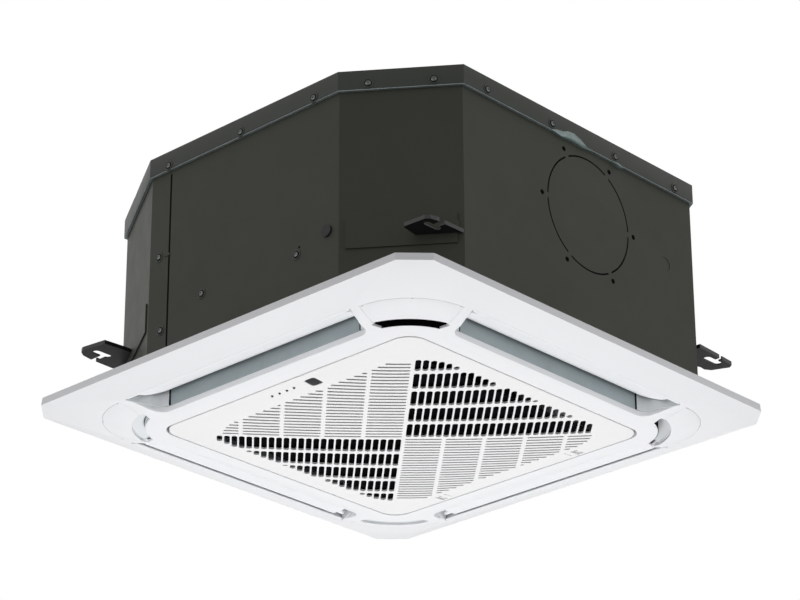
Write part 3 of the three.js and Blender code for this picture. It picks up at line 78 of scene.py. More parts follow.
CUTS = [(1, 1, 85, 116), (-1, 1, 88, 144), (-1, -1, 85, 116), (1, -1, 72, 116)]
SQRT2 = math.sqrt(2)

# ---------------------------------------------------------------- mesh tools


def turn_2d(x, y, quarters):
    for _ in range(quarters % 4):
        x, y = -y, x
    return x, y


def box(x0, x1, y0, y1, z0, z1):
    verts = [(x, y, z) for z in (z0, z1) for y in (y0, y1) for x in (x0, x1)]
    faces = [(0, 2, 3, 1), (4, 5, 7, 6), (0, 1, 5, 4), (2, 6, 7, 3), (0, 4, 6, 2), (1, 3, 7, 5)]
    return verts, faces


def prism(outline, z0, z1):
    """An outline of (x, y) points, anticlockwise from above, raised from z0 to z1."""
    count = len(outline)
    area = sum(outline[i - 1][0] * outline[i][1] - outline[i][0] * outline[i - 1][1] for i in range(count))
    points = outline if area > 0 else outline[::-1]
    verts = [(x, y, z0) for x, y in points] + [(x, y, z1) for x, y in points]
    faces = [tuple(reversed(range(count))), tuple(range(count, 2 * count))]
    faces += [(i, (i + 1) % count, count + (i + 1) % count, count + i) for i in range(count)]
    return verts, faces


def ring_loft(rings):
    """Closed rings of as many points each, joined in turn and back to the first."""
    count = len(rings[0])
    verts = [point for ring in rings for point in ring]
    faces = []
    for r in range(len(rings)):
        after = (r + 1) % len(rings)
        for i in range(count):
            j = (i + 1) % count
            faces.append((r * count + i, r * count + j, after * count + j, after * count + i))
    return verts, faces


def capped_loft(rings):
    """Closed rings joined in turn, the first and last closed by a face."""
    count = len(rings[0])
    verts = [point for ring in rings for point in ring]
    faces = [tuple(reversed(range(count))), tuple(range((len(rings) - 1) * count, len(rings) * count))]
    for r in range(len(rings) - 1):
        for i in range(count):
            j = (i + 1) % count
            faces.append((r * count + i, r * count + j, (r + 1) * count + j, (r + 1) * count + i))
    return verts, faces


def lathe(profile, steps=24):
    """(radius, height) points from the axis back to the axis, turned about Z."""
    ring_of = [
        [(r * math.cos(math.tau * k / steps), r * math.sin(math.tau * k / steps), h) for k in range(steps)]
        for r, h in profile
    ]
    return capped_loft(ring_of)


def moved(shape, matrix):
    return [tuple(matrix @ Vector(v)) for v in shape[0]], shape[1]


def turned(shape, quarters):
    return [(*turn_2d(x, y, quarters), z) for x, y, z in shape[0]], shape[1]


def facing(origin, normal):
    """A matrix that takes +Z to a normal, at an origin."""
    return Matrix.Translation(origin) @ Vector(normal).to_track_quat("Z", "Y").to_matrix().to_4x4()


def together(shapes):
    verts, faces = [], []
    for some_verts, some_faces in shapes:
        base = len(verts)
        verts += some_verts
        faces += [tuple(i + base for i in face) for face in some_faces]
    return verts, faces


def build(shape):
    """A mesh object with outward faces, still in millimetres."""
    mesh = bpy.data.meshes.new("work")
    mesh.from_pydata(shape[0], [], shape[1])
    mesh.update()
    made = bpy.data.objects.new("work", mesh)
    bpy.context.scene.collection.objects.link(made)
    volume = 0.0
    for polygon in mesh.polygons:
        corner = mesh.vertices[polygon.vertices[0]].co
        for a, b in zip(polygon.vertices[1:], polygon.vertices[2:]):
            volume += corner.dot(mesh.vertices[a].co.cross(mesh.vertices[b].co))
    if volume < 0:
        mesh.flip_normals()
    return made


def settle(target):
    """Applies an object's modifiers to its mesh."""
    graph = bpy.context.evaluated_depsgraph_get()
    mesh = bpy.data.meshes.new_from_object(target.evaluated_get(graph))
    target.modifiers.clear()
    old = target.data
    target.data = mesh
    bpy.data.meshes.remove(old)


def combine(target, operation, *tools):
    for tool in tools:
        other = tool if isinstance(tool, bpy.types.Object) else build(tool)
        modifier = target.modifiers.new("boolean", "BOOLEAN")
        modifier.operation = operation
        modifier.object = other
        modifier.solver = "MANIFOLD"
        settle(target)
        mesh = other.data
        bpy.data.objects.remove(other)
        bpy.data.meshes.remove(mesh)
    return target


def cut(target, *tools):
    return combine(target, "DIFFERENCE", *tools)


def join(target, *tools):
    return combine(target, "UNION", *tools)


def common(target, *tools):
    return combine(target, "INTERSECT", *tools)


def finish_piece(target, name, material, body="housing", stands_for=(), bevel=0.0, smooth=32):
    """Scales a piece to metres, rounds and shades its edges, and puts it in the frame."""
    target.data.transform(Matrix.Scale(MM, 4))
    target.name = name
    target.data.name = name
    if bevel:
        modifier = target.modifiers.new("edges", "BEVEL")
        modifier.width = bevel * MM
        modifier.segments = 2
        modifier.limit_method = "ANGLE"
        modifier.angle_limit = math.radians(42)
        modifier.use_clamp_overlap = True
        settle(target)
        target.data.name = name
    target.data.materials.clear()
    target.data.materials.append(material)
    target.data.shade_smooth()
    target.data.set_sharp_from_angle(angle=math.radians(smooth))
    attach(target, body)
    if stands_for:
        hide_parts(*stands_for)
    return target


# ---------------------------------------------------------------- materials


def srgb(*rgb):
    """A colour written 0-255 as it shows on screen, as linear values."""
    def linear(c):
        c /= 255
        return c / 12.92 if c <= 0.04045 else ((c + 0.055) / 1.055) ** 2.4
    return (*[linear(c) for c in rgb], 1.0)


def coating(name, color, roughness, metallic=0.0, variation=0.03, patches=14.0, grain=900.0,
            bump=0.05, wear=0.12, specular=0.5, dirt=None):
    """Paint, plastic, foam or metal: soft patches in the colour, finer ones in the roughness, a grain bump."""
    material = bpy.data.materials.new(name)
    material.use_nodes = True
    tree = material.node_tree
    shader = tree.nodes["Principled BSDF"]
    shader.inputs["Metallic"].default_value = metallic
    shader.inputs["Specular IOR Level"].default_value = specular
    place = tree.nodes.new("ShaderNodeTexCoord")

    def noise(scale, detail=3.0):
        made = tree.nodes.new("ShaderNodeTexNoise")
        made.inputs["Scale"].default_value = scale
        made.inputs["Detail"].default_value = detail
        tree.links.new(place.outputs["Object"], made.inputs["Vector"])
        return made

    ramp = tree.nodes.new("ShaderNodeValToRGB")
    ramp.color_ramp.elements[0].position = 0.3
    ramp.color_ramp.elements[1].position = 0.7
    low = [c * (1 - variation) for c in color[:3]]
    high = [min(1.0, c * (1 + variation)) for c in color[:3]]
    ramp.color_ramp.elements[0].color = (*(dirt[:3] if dirt else low), 1)
    ramp.color_ramp.elements[1].color = (*high, 1)
    tree.links.new(noise(patches).outputs["Fac"], ramp.inputs["Fac"])
    tree.links.new(ramp.outputs["Color"], shader.inputs["Base Color"])

    spread = tree.nodes.new("ShaderNodeMapRange")
    spread.inputs["To Min"].default_value = max(0.02, roughness * (1 - wear))
    spread.inputs["To Max"].default_value = min(1.0, roughness * (1 + wear))
    tree.links.new(noise(patches * 6).outputs["Fac"], spread.inputs["Value"])
    tree.links.new(spread.outputs["Result"], shader.inputs["Roughness"])

    relief = tree.nodes.new("ShaderNodeBump")
    relief.inputs["Strength"].default_value = bump
    relief.inputs["Distance"].default_value = 0.0004
    tree.links.new(noise(grain, 2.0).outputs["Fac"], relief.inputs["Height"])
    tree.links.new(relief.outputs["Normal"], shader.inputs["Normal"])
    return material


def fins(name, color, pitch):
    """Thin upright aluminium fins: a wave across the face paints shade in the gaps between the fins and lifts
    the edges.
    """
    material = coating(name, color, 0.42, metallic=0.85, grain=500)
    tree = material.node_tree
    shader = tree.nodes["Principled BSDF"]
    place = next(n for n in tree.nodes if n.bl_idname == "ShaderNodeTexCoord")
    wave = tree.nodes.new("ShaderNodeTexWave")
    wave.bands_direction = "DIAGONAL"
    wave.inputs["Scale"].default_value = 1 / (pitch * MM * math.tau)
    flat = tree.nodes.new("ShaderNodeVectorMath")
    flat.operation = "MULTIPLY"
    flat.inputs[1].default_value = (1, 1, 0)
    tree.links.new(place.outputs["Object"], flat.inputs[0])
    tree.links.new(flat.outputs["Vector"], wave.inputs["Vector"])
    ramp = tree.nodes.new("ShaderNodeValToRGB")
    # The dark end of the ramp is painted shade in the gaps between the fins.
    ramp.color_ramp.elements[0].color = (0.02, 0.02, 0.02, 1)
    ramp.color_ramp.elements[1].color = color
    tree.links.new(wave.outputs["Fac"], ramp.inputs["Fac"])
    tree.links.new(ramp.outputs["Color"], shader.inputs["Base Color"])
    return material


def mesh_cloth(name, color, pitch):
    """A woven filter net: two crossed waves give the threads their colour."""
    material = coating(name, color, 0.95, grain=700, specular=0.03)
    tree = material.node_tree
    shader = tree.nodes["Principled BSDF"]
    place = next(n for n in tree.nodes if n.bl_idname == "ShaderNodeTexCoord")
    threads = tree.nodes.new("ShaderNodeMath")
    threads.operation = "MAXIMUM"
    for k, direction in enumerate(("X", "Y")):
        wave = tree.nodes.new("ShaderNodeTexWave")
        wave.bands_direction = direction
        wave.inputs["Scale"].default_value = 1 / (pitch * MM * math.tau)
        tree.links.new(place.outputs["Object"], wave.inputs["Vector"])
        tree.links.new(wave.outputs["Fac"], threads.inputs[k])
    ramp = tree.nodes.new("ShaderNodeValToRGB")
    ramp.color_ramp.elements[0].color = (0.0005, 0.0005, 0.0005, 1)
    ramp.color_ramp.elements[1].color = color
    tree.links.new(threads.outputs["Value"], ramp.inputs["Fac"])
    tree.links.new(ramp.outputs["Color"], shader.inputs["Base Color"])
    return material


PANEL = coating("panel_plastic", srgb(243, 244, 246), 0.46, variation=0.006, bump=0.04, specular=0.35)
GRILLE = coating("grille_plastic", srgb(243, 243, 243), 0.52, variation=0.008, bump=0.05, specular=0.35)
END_WALL = coating("outlet_plastic", srgb(226, 229, 231), 0.55, variation=0.01, specular=0.3)
LENS = coating("receiver_smoke", srgb(46, 48, 50), 0.16, variation=0.05, bump=0.01)
LAMP = coating("lamp_smoke", srgb(38, 39, 41), 0.3, variation=0.05, bump=0.01)
DUCT = coating("duct_lining", srgb(170, 181, 184), 0.7, variation=0.07, patches=26, grain=420, bump=0.12)
# A black lining put inside the corner slots: painted shade, for slots that are dark only because no light
# reaches in.
SHADE = coating("painted_shade_lining", srgb(6, 6, 7), 0.95, variation=0.2, grain=1500, bump=0.4, specular=0.05)
SEAL = coating("seal_foam", srgb(42, 43, 44), 0.95, variation=0.12, grain=1400, bump=0.5, specular=0.1)
CASING = coating("casing_paint", srgb(60, 62, 54), 0.55, variation=0.07, patches=6,
                 grain=1500, bump=0.06, specular=0.2)
LID_PAINT = coating("lid_paint", srgb(60, 63, 58), 0.5, variation=0.06, patches=7,
                    grain=1500, bump=0.06, specular=0.25)
# A pale metal colour for the lid hem: partly the bare cut edge of the steel, partly a painted highlight along
# the lower edge.
HEM_HIGHLIGHT = coating("bare_edge_and_painted_highlight", srgb(138, 148, 148), 0.42, metallic=0.3, variation=0.12, patches=60)
HOOK = coating("hook_steel", srgb(30, 32, 32), 0.42, metallic=0.2, variation=0.12,
               patches=40, grain=900, bump=0.1)
SCREW = coating("screw_zinc", srgb(92, 96, 94), 0.36, metallic=0.7, variation=0.15, patches=200)
# Near-black inlays in the casing's slits, holes and seam: painted shadow.
PAINTED_HOLE_SHADE = coating("hole_shadow", srgb(8, 9, 9), 0.9, variation=0.2, specular=0.05)
FOAM = coating("white_foam", srgb(214, 217, 219), 0.95, variation=0.04, patches=60,
               grain=260, bump=0.5, specular=0.1)
FOIL = coating("foil_tape", srgb(126, 142, 140), 0.38, metallic=0.35, variation=0.18,
               patches=90, grain=260, bump=0.4)
GALVANISED = coating("galvanised", srgb(168, 172, 174), 0.42, metallic=0.85,
                     variation=0.14, patches=55, grain=600)
COPPER = coating("copper", srgb(190, 118, 78), 0.34, metallic=0.95, variation=0.14,
                 patches=60, grain=500)
BRASS = coating("brass", srgb(190, 160, 100), 0.32, metallic=0.95, variation=0.1, patches=90)
RUBBER = coating("rubber", srgb(24, 24, 25), 0.75, variation=0.15, patches=60, grain=1200, bump=0.2)
BOARD = coating("circuit_board", srgb(30, 92, 58), 0.5, variation=0.25, patches=160, grain=400, bump=0.3)
MOTOR = coating("motor_steel", srgb(150, 154, 157), 0.38, metallic=0.85, variation=0.08, patches=30)
PLASTIC = coating("grey_plastic", srgb(146, 151, 154), 0.5, variation=0.05, patches=20,
                  grain=800, bump=0.15)
NET = mesh_cloth("filter_net", srgb(11, 11, 13), 1.4)
FINS_GAP_SHADE = fins("coil_fins_painted_gap_shade", srgb(190, 195, 199), 1.8)

# ---------------------------------------------------------------- panel surfaces

CORNER_STEPS = 14


def round_ring(half, radius, z, dip=0.0, steps=CORNER_STEPS):
    """A square ring of points with rounded corners, which may dip below the sides."""
    centre = half - radius
    points = []
    for corner in range(4):
        for i in range(steps + 1):
            inside = (math.pi / 2) * i / steps
            angle = inside + corner * math.pi / 2
            cx = centre if corner in (0, 3) else -centre
            cy = centre if corner < 2 else -centre
            low = dip * min(1.0, 2 * math.sin(2 * inside))
            points.append((cx + radius * math.cos(angle), cy + radius * math.sin(angle), z - low))
    return points


def chamfer_ring(half, chamfer, z, steps=CORNER_STEPS):
    """The same with the corners cut straight."""
    ends = [
        ((half, half - chamfer), (half - chamfer, half)),
        ((chamfer - half, half), (-half, half - chamfer)),
        ((-half, chamfer - half), (chamfer - half, -half)),
        ((half - chamfer, -half), (half, chamfer - half)),
    ]
    return [
        (a[0] + (b[0] - a[0]) * i / steps, a[1] + (b[1] - a[1]) * i / steps, z)
        for a, b in ends for i in range(steps + 1)
    ]


def underside(lift):
    """The panel's underside from the rim to the grille's seam."""
    return [
        chamfer_ring(RIM_HALF, 29, RIM_Z + lift),
        round_ring(OUTER_LIP, OUTER_CORNER, OUTER_LIP_Z + lift),
        round_ring(CORNER_CENTRE + SLOT_OUTER, SLOT_OUTER, MID_Z + lift, 3),
        round_ring(INNER_LIP, RING_CORNER, RING_Z + lift, 1.5),
        round_ring(OPENING_HALF, SEAM_CORNER, BORDER_Z + lift),
    ]


def layer(low, high):
    return ring_loft(underside(low) + underside(high)[::-1])


def arc(cx, cy, radius, start, stop, steps):
    """Points on an arc, in degrees."""
    return [
        (cx + radius * math.cos(math.radians(start + (stop - start) * i / steps)),
         cy + radius * math.sin(math.radians(start + (stop - start) * i / steps)))
        for i in range(steps + 1)
    ]


def outlet_outline(grow=0.0):
    """The left outlet, grown by a margin."""
    outer = -OUTER_LIP - grow
    radius = OUTLET_CORNER + grow
    return (
        [(outer, OUTLET_END + grow), (outer, -OUTLET_END - grow)]
        + arc(-INNER_LIP - OUTLET_CORNER, -OUTLET_STRAIGHT, radius, -90, 0, 10)
        + arc(-INNER_LIP - OUTLET_CORNER, OUTLET_STRAIGHT, radius, 0, 90, 10)
    )


def cover_outline(grow=0.0, side=0.0):
    """The cover on the corner between +X and +Y."""
    outer = arc(COVER_CENTRE, COVER_CENTRE, OUTER_CORNER - 2 + grow, 1 - side, 89 + side, 28)
    inner = arc(CORNER_CENTRE, CORNER_CENTRE, SLOT_OUTER - grow, 75 + side, 15 - side, 20)
    return outer + inner


def sector(inner, outer, start, stop, steps=20):
    return (
        arc(CORNER_CENTRE, CORNER_CENTRE, outer, start, stop, steps)
        + arc(CORNER_CENTRE, CORNER_CENTRE, inner, stop, start, steps)
    )


def slot_end(angle, beyond):
    """A ramp from the panel's face up into the end of a corner slot."""
    def at(radius, degrees):
        a = math.radians(degrees)
        return CORNER_CENTRE + radius * math.cos(a), CORNER_CENTRE + radius * math.sin(a)
    tip = at(SLOT_OUTER - 3, beyond)
    low, high = at(SLOT_INNER, angle), at(SLOT_OUTER, angle)
    verts = [(*tip, 8.5), (*low, 2), (*high, 2), (*high, 19), (*low, 19)]
    faces = [(0, 2, 1), (0, 3, 2), (0, 4, 3), (0, 1, 4), (1, 2, 3, 4)]
    return verts, faces


def make_panel_frame():
    upper = underside(3)
    skin = build(ring_loft([
        *underside(0),
        round_ring(OPENING_HALF, SEAM_CORNER, BORDER_Z + 12),
        round_ring(OPENING_HALF + 3, SEAM_CORNER + 3, BORDER_Z + 12),
        round_ring(OPENING_HALF + 3, SEAM_CORNER + 3, BORDER_Z + 3),
        upper[3], upper[2], upper[1],
        chamfer_ring(RIM_HALF - 5, 27, RIM_Z + 3),
        chamfer_ring(RIM_HALF - 5, 29, CEILING_Z),
        chamfer_ring(RIM_HALF - 0.6, 30.6, CEILING_Z),
        chamfer_ring(RIM_HALF, 31, CEILING_Z - 0.6),
        chamfer_ring(RIM_HALF, 29.2, RIM_Z + 0.6),
    ]))
    for k in range(4):
        collar = common(build(layer(0.5, 7)), turned(prism(outlet_outline(2.5), 0, CEILING_Z), k))
        ledge = common(build(layer(2.8, 5.4)), turned(prism(cover_outline(5, 2), -1, CEILING_Z), k))
        join(skin, collar, ledge)
        recess = common(build(layer(-20, 2.8)), turned(prism(cover_outline(0.35, 0.12), -20, CEILING_Z), k))
        cut(skin, recess)
    for k in range(4):
        cut(
            skin,
            turned(prism(outlet_outline(), -1, CEILING_Z), k),
            turned(prism(sector(SLOT_INNER, SLOT_OUTER, 17, 73), -1, CEILING_Z), k),
            turned(slot_end(17.5, 11.5), k),
            turned(slot_end(72.5, 78.5), k),
        )
        lip = box(-OUTER_LIP - 1, -OUTER_LIP + 2.9, -187.2, 187.2, OUTER_LIP_Z, OUTER_LIP_Z + 1.6)
        join(skin, turned(lip, k))
    ears = []
    for end in (-1, 1):
        y0, y1 = sorted((end * 187.2, end * 190.2))
        ear = common(build(box(-285, -274, y0, y1, RING_Z, 34.2)), layer(2.5, 40))
        ears.append(ear)
    for k in range(4):
        for ear in ears:
            copy = ear.copy()
            copy.data = ear.data.copy()
            bpy.context.scene.collection.objects.link(copy)
            copy.data.transform(Matrix.Rotation(math.pi / 2 * k, 4, "Z"))
            join(skin, copy)
    for ear in ears:
        bpy.data.objects.remove(ear)
    return skin


finish_piece(make_panel_frame(), "panel_frame_moulding", PANEL,
             stands_for=["panel_frame"], bevel=0.45)


def make_cover(k):
    cover = common(build(layer(0, 2.5)), prism(cover_outline(-0.25, -0.06), -1, CEILING_Z))
    notch = COVER_CENTRE + (OUTER_CORNER - 2.3) * math.sqrt(0.5)
    tick = build(box(-1.1, 1.1, -1.1, 1.1, 0, 40))
    tick.data.transform(Matrix.Translation((notch, notch, 0)) @ Matrix.Rotation(math.pi / 4, 4, "Z"))
    cut(cover, tick)
    for angle in (4, 86):
        x, y = arc(COVER_CENTRE, COVER_CENTRE, OUTER_CORNER - 2.3, angle, angle, 1)[0]
        cut(cover, moved(box(-1.4, 1.4, -0.9, 0.9, 0, 40), Matrix.Translation((x, y, 0))))
    cover.data.transform(Matrix.Rotation(math.pi / 2 * k, 4, "Z"))
    return cover


for k, corner in enumerate(("rear_right", "rear_left", "front_left", "front_right")):
    finish_piece(make_cover(k), f"corner_cover_moulding_{corner}", PANEL,
                 stands_for=[f"corner_cover_{corner}"], bevel=0.3)

# Pale walls at the ends of each outlet.


END_WALL_BASE, END_WALL_TOP = 17.4, 49


def outlet_end_wall(end):
    """A wall that follows one end of the left outlet, up into the duct."""
    centre = (-INNER_LIP - OUTLET_CORNER, OUTLET_STRAIGHT)
    outside = [(-OUTER_LIP + 1, 187.5), *arc(*centre, 16.3, 96, 0, 14)]
    inside = [(-OUTER_LIP + 1, 185.9), *arc(*centre, 14.7, 96, 0, 14)]
    outline = [(x, end * y) for x, y in outside + inside[::-1]]
    return prism(outline, END_WALL_BASE, END_WALL_TOP)


walls = together([turned(outlet_end_wall(end), k) for k in range(4) for end in (-1, 1)])
finish_piece(build(walls), "outlet_end_walls", END_WALL, bevel=0.2)

# The front corners' slots are dark inside, lined with black that paints their shade; the rear ones pale.
DEEP_SLOTS = (2, 3)
NEAR_SLOT = 2  # the only one without an air guide
STEEP_RISE, GENTLE_RISE = 13.5, 3.2
GUIDE_Z = 13.5
SLOT_TOP = 44


def slot_ramp(rise):
    """An air guide from the outer edge of a corner slot up towards its inner wall."""
    low, high = SLOT_OUTER - 0.2, SLOT_INNER + 2
    top = GUIDE_Z + rise
    profile = ((low, GUIDE_Z), (high, top), (high, top + 1), (low, 14.6))
    rings = []
    for i in range(25):
        a = math.radians(10 + 70 * i / 24)
        c, d = math.cos(a), math.sin(a)
        rings.append([(CORNER_CENTRE + r * c, CORNER_CENTRE + r * d, z) for r, z in profile])
    return capped_loft(rings)


def slot_walls(k, dark):
    """Thin walls inside a corner slot, turned to corner k: the black lining that paints the slot's shade, or
    the pale plastic.
    """
    inner = SLOT_INNER + 0.1
    inside = [prism(sector(inner, inner + 0.7, 10, 80), 12.2, SLOT_TOP)]
    if k in DEEP_SLOTS:
        inside.append(prism(sector(inner, inner + 0.7, 17.4, 72.6), 9.2, 12.4))
    roof = prism(sector(SLOT_INNER, SLOT_OUTER, 9, 81), SLOT_TOP, SLOT_TOP + 1)
    outside = [
        prism(sector(SLOT_OUTER - 0.8, SLOT_OUTER - 0.1, 10, 80), 13.3, SLOT_TOP),
        prism(sector(inner, SLOT_OUTER - 0.1, 9.3, 10, 2), 12.4, SLOT_TOP),
        prism(sector(inner, SLOT_OUTER - 0.1, 80, 80.7, 2), 12.4, SLOT_TOP),
    ]
    if dark:
        chosen = [roof] + (inside if k in DEEP_SLOTS else [])
    else:
        chosen = outside + ([] if k in DEEP_SLOTS else inside)
        if k != NEAR_SLOT:
            chosen.append(slot_ramp(STEEP_RISE if k in DEEP_SLOTS else GENTLE_RISE))
    return [turned(shape, k) for shape in chosen]


# The first piece is a black lining that paints the slots' shade; the second is the pale plastic.
for dark, name, material, slot in (
    (True, "corner_slot_painted_shade", SHADE, "seal_foam"),
    (False, "corner_slot_walls", END_WALL, "panel_white"),
):
    pieces = [wall for k in range(4) for wall in slot_walls(k, dark)]
    finish_piece(build(together(pieces)), name, material)

# A dark joint where each end wall meets the duct.
joints = [
    turned(box(-239.6, -238.1, *sorted((end * 158.4, end * 159.9)), END_WALL_BASE, END_WALL_TOP), k)
    for k in range(4) for end in (-1, 1)
]
finish_piece(build(together(joints)), "outlet_joints", SEAL)

# ---------------------------------------------------------------- vanes

VANE_CHORD = 42.0
VANE_EDGE_X, VANE_EDGE_Z = -281.5, 21.7
PIVOT_X, PIVOT_Z = -279.5, 28.7
HUB_RADIUS = 4.2
TOOTH_DEPTH = 1.5
TOOTH_PITCH = 3.6
VANE_REST = math.radians(19.7)


def vane_outline():
    """The blade's outline at one end, as (chord, half length) points, the round end finely toothed."""
    curve = []
    for start, control, stop in (
        ((0, 167.3), (6, 175.3), (18, 175.3)),
        ((18, 175.3), (32, 173.8), (42, 162.8)),
    ):
        for i in range(40):
            t = i / 40
            curve.append(tuple(
                start[n] * (1 - t) ** 2 + 2 * control[n] * t * (1 - t) + stop[n] * t * t for n in (0, 1)
            ))
    curve.append((42, 162.8))
    toothed, travelled = [], 0.0
    for i, (s, y) in enumerate(curve):
        if i:
            travelled += math.dist(curve[i - 1], curve[i])
        bite = TOOTH_DEPTH * abs(math.sin(math.pi * travelled / TOOTH_PITCH)) if 1 < s < 41 else 0.0
        toothed.append((s, y - bite))
    return toothed


def along_y(x, y, z):
    """A place for a turned shape, its axis laid along +Y."""
    return Matrix.Translation((x, y, z)) @ Matrix.Rotation(-math.pi / 2, 4, "X")


def make_vane(k):
    end = vane_outline()
    outline = [(s, -y) for s, y in end] + [(s, y) for s, y in end[::-1]]
    rows = []
    for depth, shrink in ((0.0, 0.5), (0.35, 0.0), (1.85, 0.0), (2.2, 0.4)):
        ring = []
        for s, y in outline:
            inset_s = max(shrink, min(VANE_CHORD - shrink, s))
            inset_y = y - math.copysign(shrink, y)
            crown = 0.9 * math.sin(math.pi * s / VANE_CHORD)
            ring.append((inset_s, inset_y, depth - crown))
        rows.append(ring)
    blade = build(capped_loft(rows))
    blade.data.transform(
        Matrix.Translation((VANE_EDGE_X, 0, VANE_EDGE_Z)) @ Matrix.Rotation(-VANE_REST, 4, "Y")
    )
    for side in (-1, 1):
        low, high = sorted((side * 158.5, side * 167.5))
        join(blade, box(-282.5, -276.5, low, high, VANE_EDGE_Z + 2.2, PIVOT_Z))
        near, far = sorted((side * 158.5, side * 186.9))
        hub = moved(lathe([(HUB_RADIUS, 0), (HUB_RADIUS, far - near)], 28), along_y(PIVOT_X, near, PIVOT_Z))
        join(blade, hub)
        start, stop = sorted((side * 181.9, side * 190))
        bore = moved(lathe([(PIN_BORE, 0), (PIN_BORE, stop - start)], 20), along_y(PIVOT_X, start, PIVOT_Z))
        cut(blade, bore)
    blade.data.transform(Matrix.Rotation(math.pi / 2 * k, 4, "Z"))
    return blade


for k, side in enumerate(("left", "front", "right", "rear")):
    finish_piece(make_vane(k), f"vane_moulding_{side}", PANEL, body=f"vane_{side}_blade",
                 stands_for=[f"vane_{side}"])

# ---------------------------------------------------------------- intake grille

COLUMN_PITCH = 9.12
SLOT_WIDTH = 7.0
SLOT_PITCH = 48.3
BRIDGE = 7.3
LOUVRE_PITCH = 8.77
LOUVRE_WIDTH = 3.6
BAY_PITCH = 49.7
RIB = 4.4
PATTERN_HALF = 178.2
PATTERN_CORNER = 62.0
PATTERN_TIP = 231.0
PATTERN_SHIFT = 1.8
PATTERN_LEAN = 5.0
STRETCH = 0.02
FIRST_COLUMN = 5.75
PLATE_SLOTS = 2.4
PLATE_LOUVRES = 1.5


def crown(x, y):
    """Height of the grille's underside: lowest in the middle, level round its edge."""
    x, y = abs(x), abs(y)
    reach = max(x, y, 1e-6)
    power = 3 + 17 * min(1.0, reach / GRILLE_HALF) ** 6
    norm = reach * ((x / reach) ** power + (y / reach) ** power) ** (1 / power)
    return 3.5 * (norm / 155) ** 2.7


def from_diagonal(u, w):
    """From lengths along the two diagonals; the pattern is a little longer in y than in x."""
    return (1 - STRETCH) * (u + w) / SQRT2, (1 + STRETCH) * (u - w) / SQRT2


def crowned_slab():
    """A slab over the whole grille that follows its crown, on a grid laid along the diagonals."""
    lines = [-300 + 12.5 * i for i in range(24)] + [-0.6, 0.6] + [12.5 * i for i in range(1, 25)]
    count = len(lines)
    low, high = [], []
    for u in lines:
        for w in lines:
            x, y = from_diagonal(u, w)
            z = crown(x, y)
            thick = PLATE_LOUVRES if u * w > 0 and abs(u) > 1 and abs(w) > 1 else PLATE_SLOTS
            low.append((x, y, z))
            high.append((x, y, z + thick))
    total = count * count
    faces = []
    for i in range(count - 1):
        for j in range(count - 1):
            a = i * count + j
            b, c, d = a + 1, a + count + 1, a + count
            faces += [(a, b, c, d), (total + a, total + d, total + c, total + b)]
    rim = (
        [j for j in range(count)]
        + [i * count + count - 1 for i in range(1, count)]
        + [(count - 1) * count + j for j in range(count - 2, -1, -1)]
        + [i * count for i in range(count - 2, 0, -1)]
    )
    for a, b in zip(rim, rim[1:] + rim[:1]):
        faces.append((b, a, total + a, total + b))
    return low + high, faces


def stadium(along0, along1, across, width, swap, steps=7):
    """A round-ended slot, long along w when swap is set and along u otherwise."""
    radius = min(width / 2, (along1 - along0) / 2)
    points = []
    for centre, start in ((along1 - radius, -90), (along0 + radius, 90)):
        for i in range(steps + 1):
            a = math.radians(start + 180 * i / steps)
            points.append((centre + radius * math.cos(a), across + width / 2 * math.sin(a)))
    if swap:
        return [from_diagonal(b, a) for a, b in points]
    return [from_diagonal(a, b) for a, b in points]


def pattern_reach(across):
    """How far the pattern, a square with round corners, reaches at a distance from its diagonal."""
    straight = PATTERN_HALF * SQRT2 - across
    if across * SQRT2 > PATTERN_CORNER:
        return straight
    return (PATTERN_HALF - PATTERN_CORNER) * SQRT2 + math.sqrt(PATTERN_CORNER ** 2 - across ** 2)


def pattern_slot(span, across, width, swap):
    """A slot of the pattern, whose middle is a little off the plate's along w."""
    if swap:
        span = (span[0] + PATTERN_SHIFT, span[1] + PATTERN_SHIFT)
    else:
        across += PATTERN_SHIFT
    return prism(stadium(*span, across, width, swap), -5, 30)


slots, blades = [], []
for n in range(25):
    across = FIRST_COLUMN + n * COLUMN_PITCH
    for sign_u, sign_w in ((-1, 1), (1, -1)):
        reach = pattern_reach(across - sign_w * PATTERN_LEAN)
        start = BRIDGE / 2
        while start < reach - 3:
            stop = min(start + SLOT_PITCH - BRIDGE, reach)
            span = sorted((sign_u * start, sign_u * stop))
            slots.append(pattern_slot(span, sign_w * across, SLOT_WIDTH, False))
            start += SLOT_PITCH
for n in range(25):
    across = (n + 0.5) * LOUVRE_PITCH
    if across > pattern_reach(0) - 2:
        break
    for sign in (-1, 1):
        reach = min(PATTERN_TIP, pattern_reach(across)) + sign * PATTERN_LEAN
        start = RIB / 2
        while start < reach - 2.5:
            stop = min(start + BAY_PITCH - RIB, reach)
            span = sorted((sign * start, sign * stop))
            slots.append(pattern_slot(span, sign * across, LOUVRE_WIDTH, True))
            # A blade above the far edge of each louvre stops short of the bay's right end.
            edge = sign * across + LOUVRE_WIDTH / 2 + 0.1
            if span[1] - span[0] > 9:
                first, last = span[0] + PATTERN_SHIFT, span[1] + PATTERN_SHIFT - 5.5
                ends = ((edge, first), (edge, last), (edge + 1.1, last), (edge + 1.1, first))
                corners = [from_diagonal(*end) for end in ends]
                base = [(x, y, crown(x, y) + PLATE_LOUVRES - 0.3) for x, y in corners]
                blades.append(capped_loft([base, [(x, y, z + 3.0) for x, y, z in base]]))
            start += BAY_PITCH

LENS_X, LENS_Y = -188.6, -34.8
LAMP_X = -191.5
LAMPS_Y = (31.2, 18.9, 6.6, -5.3)


def rounded_square(cx, cy, half, radius, steps=6):
    points = []
    for n, (sx, sy) in enumerate(((1, 1), (-1, 1), (-1, -1), (1, -1))):
        centre = (cx + sx * (half - radius), cy + sy * (half - radius))
        points += arc(*centre, radius, 90 * n, 90 * n + 90, steps)
    return points


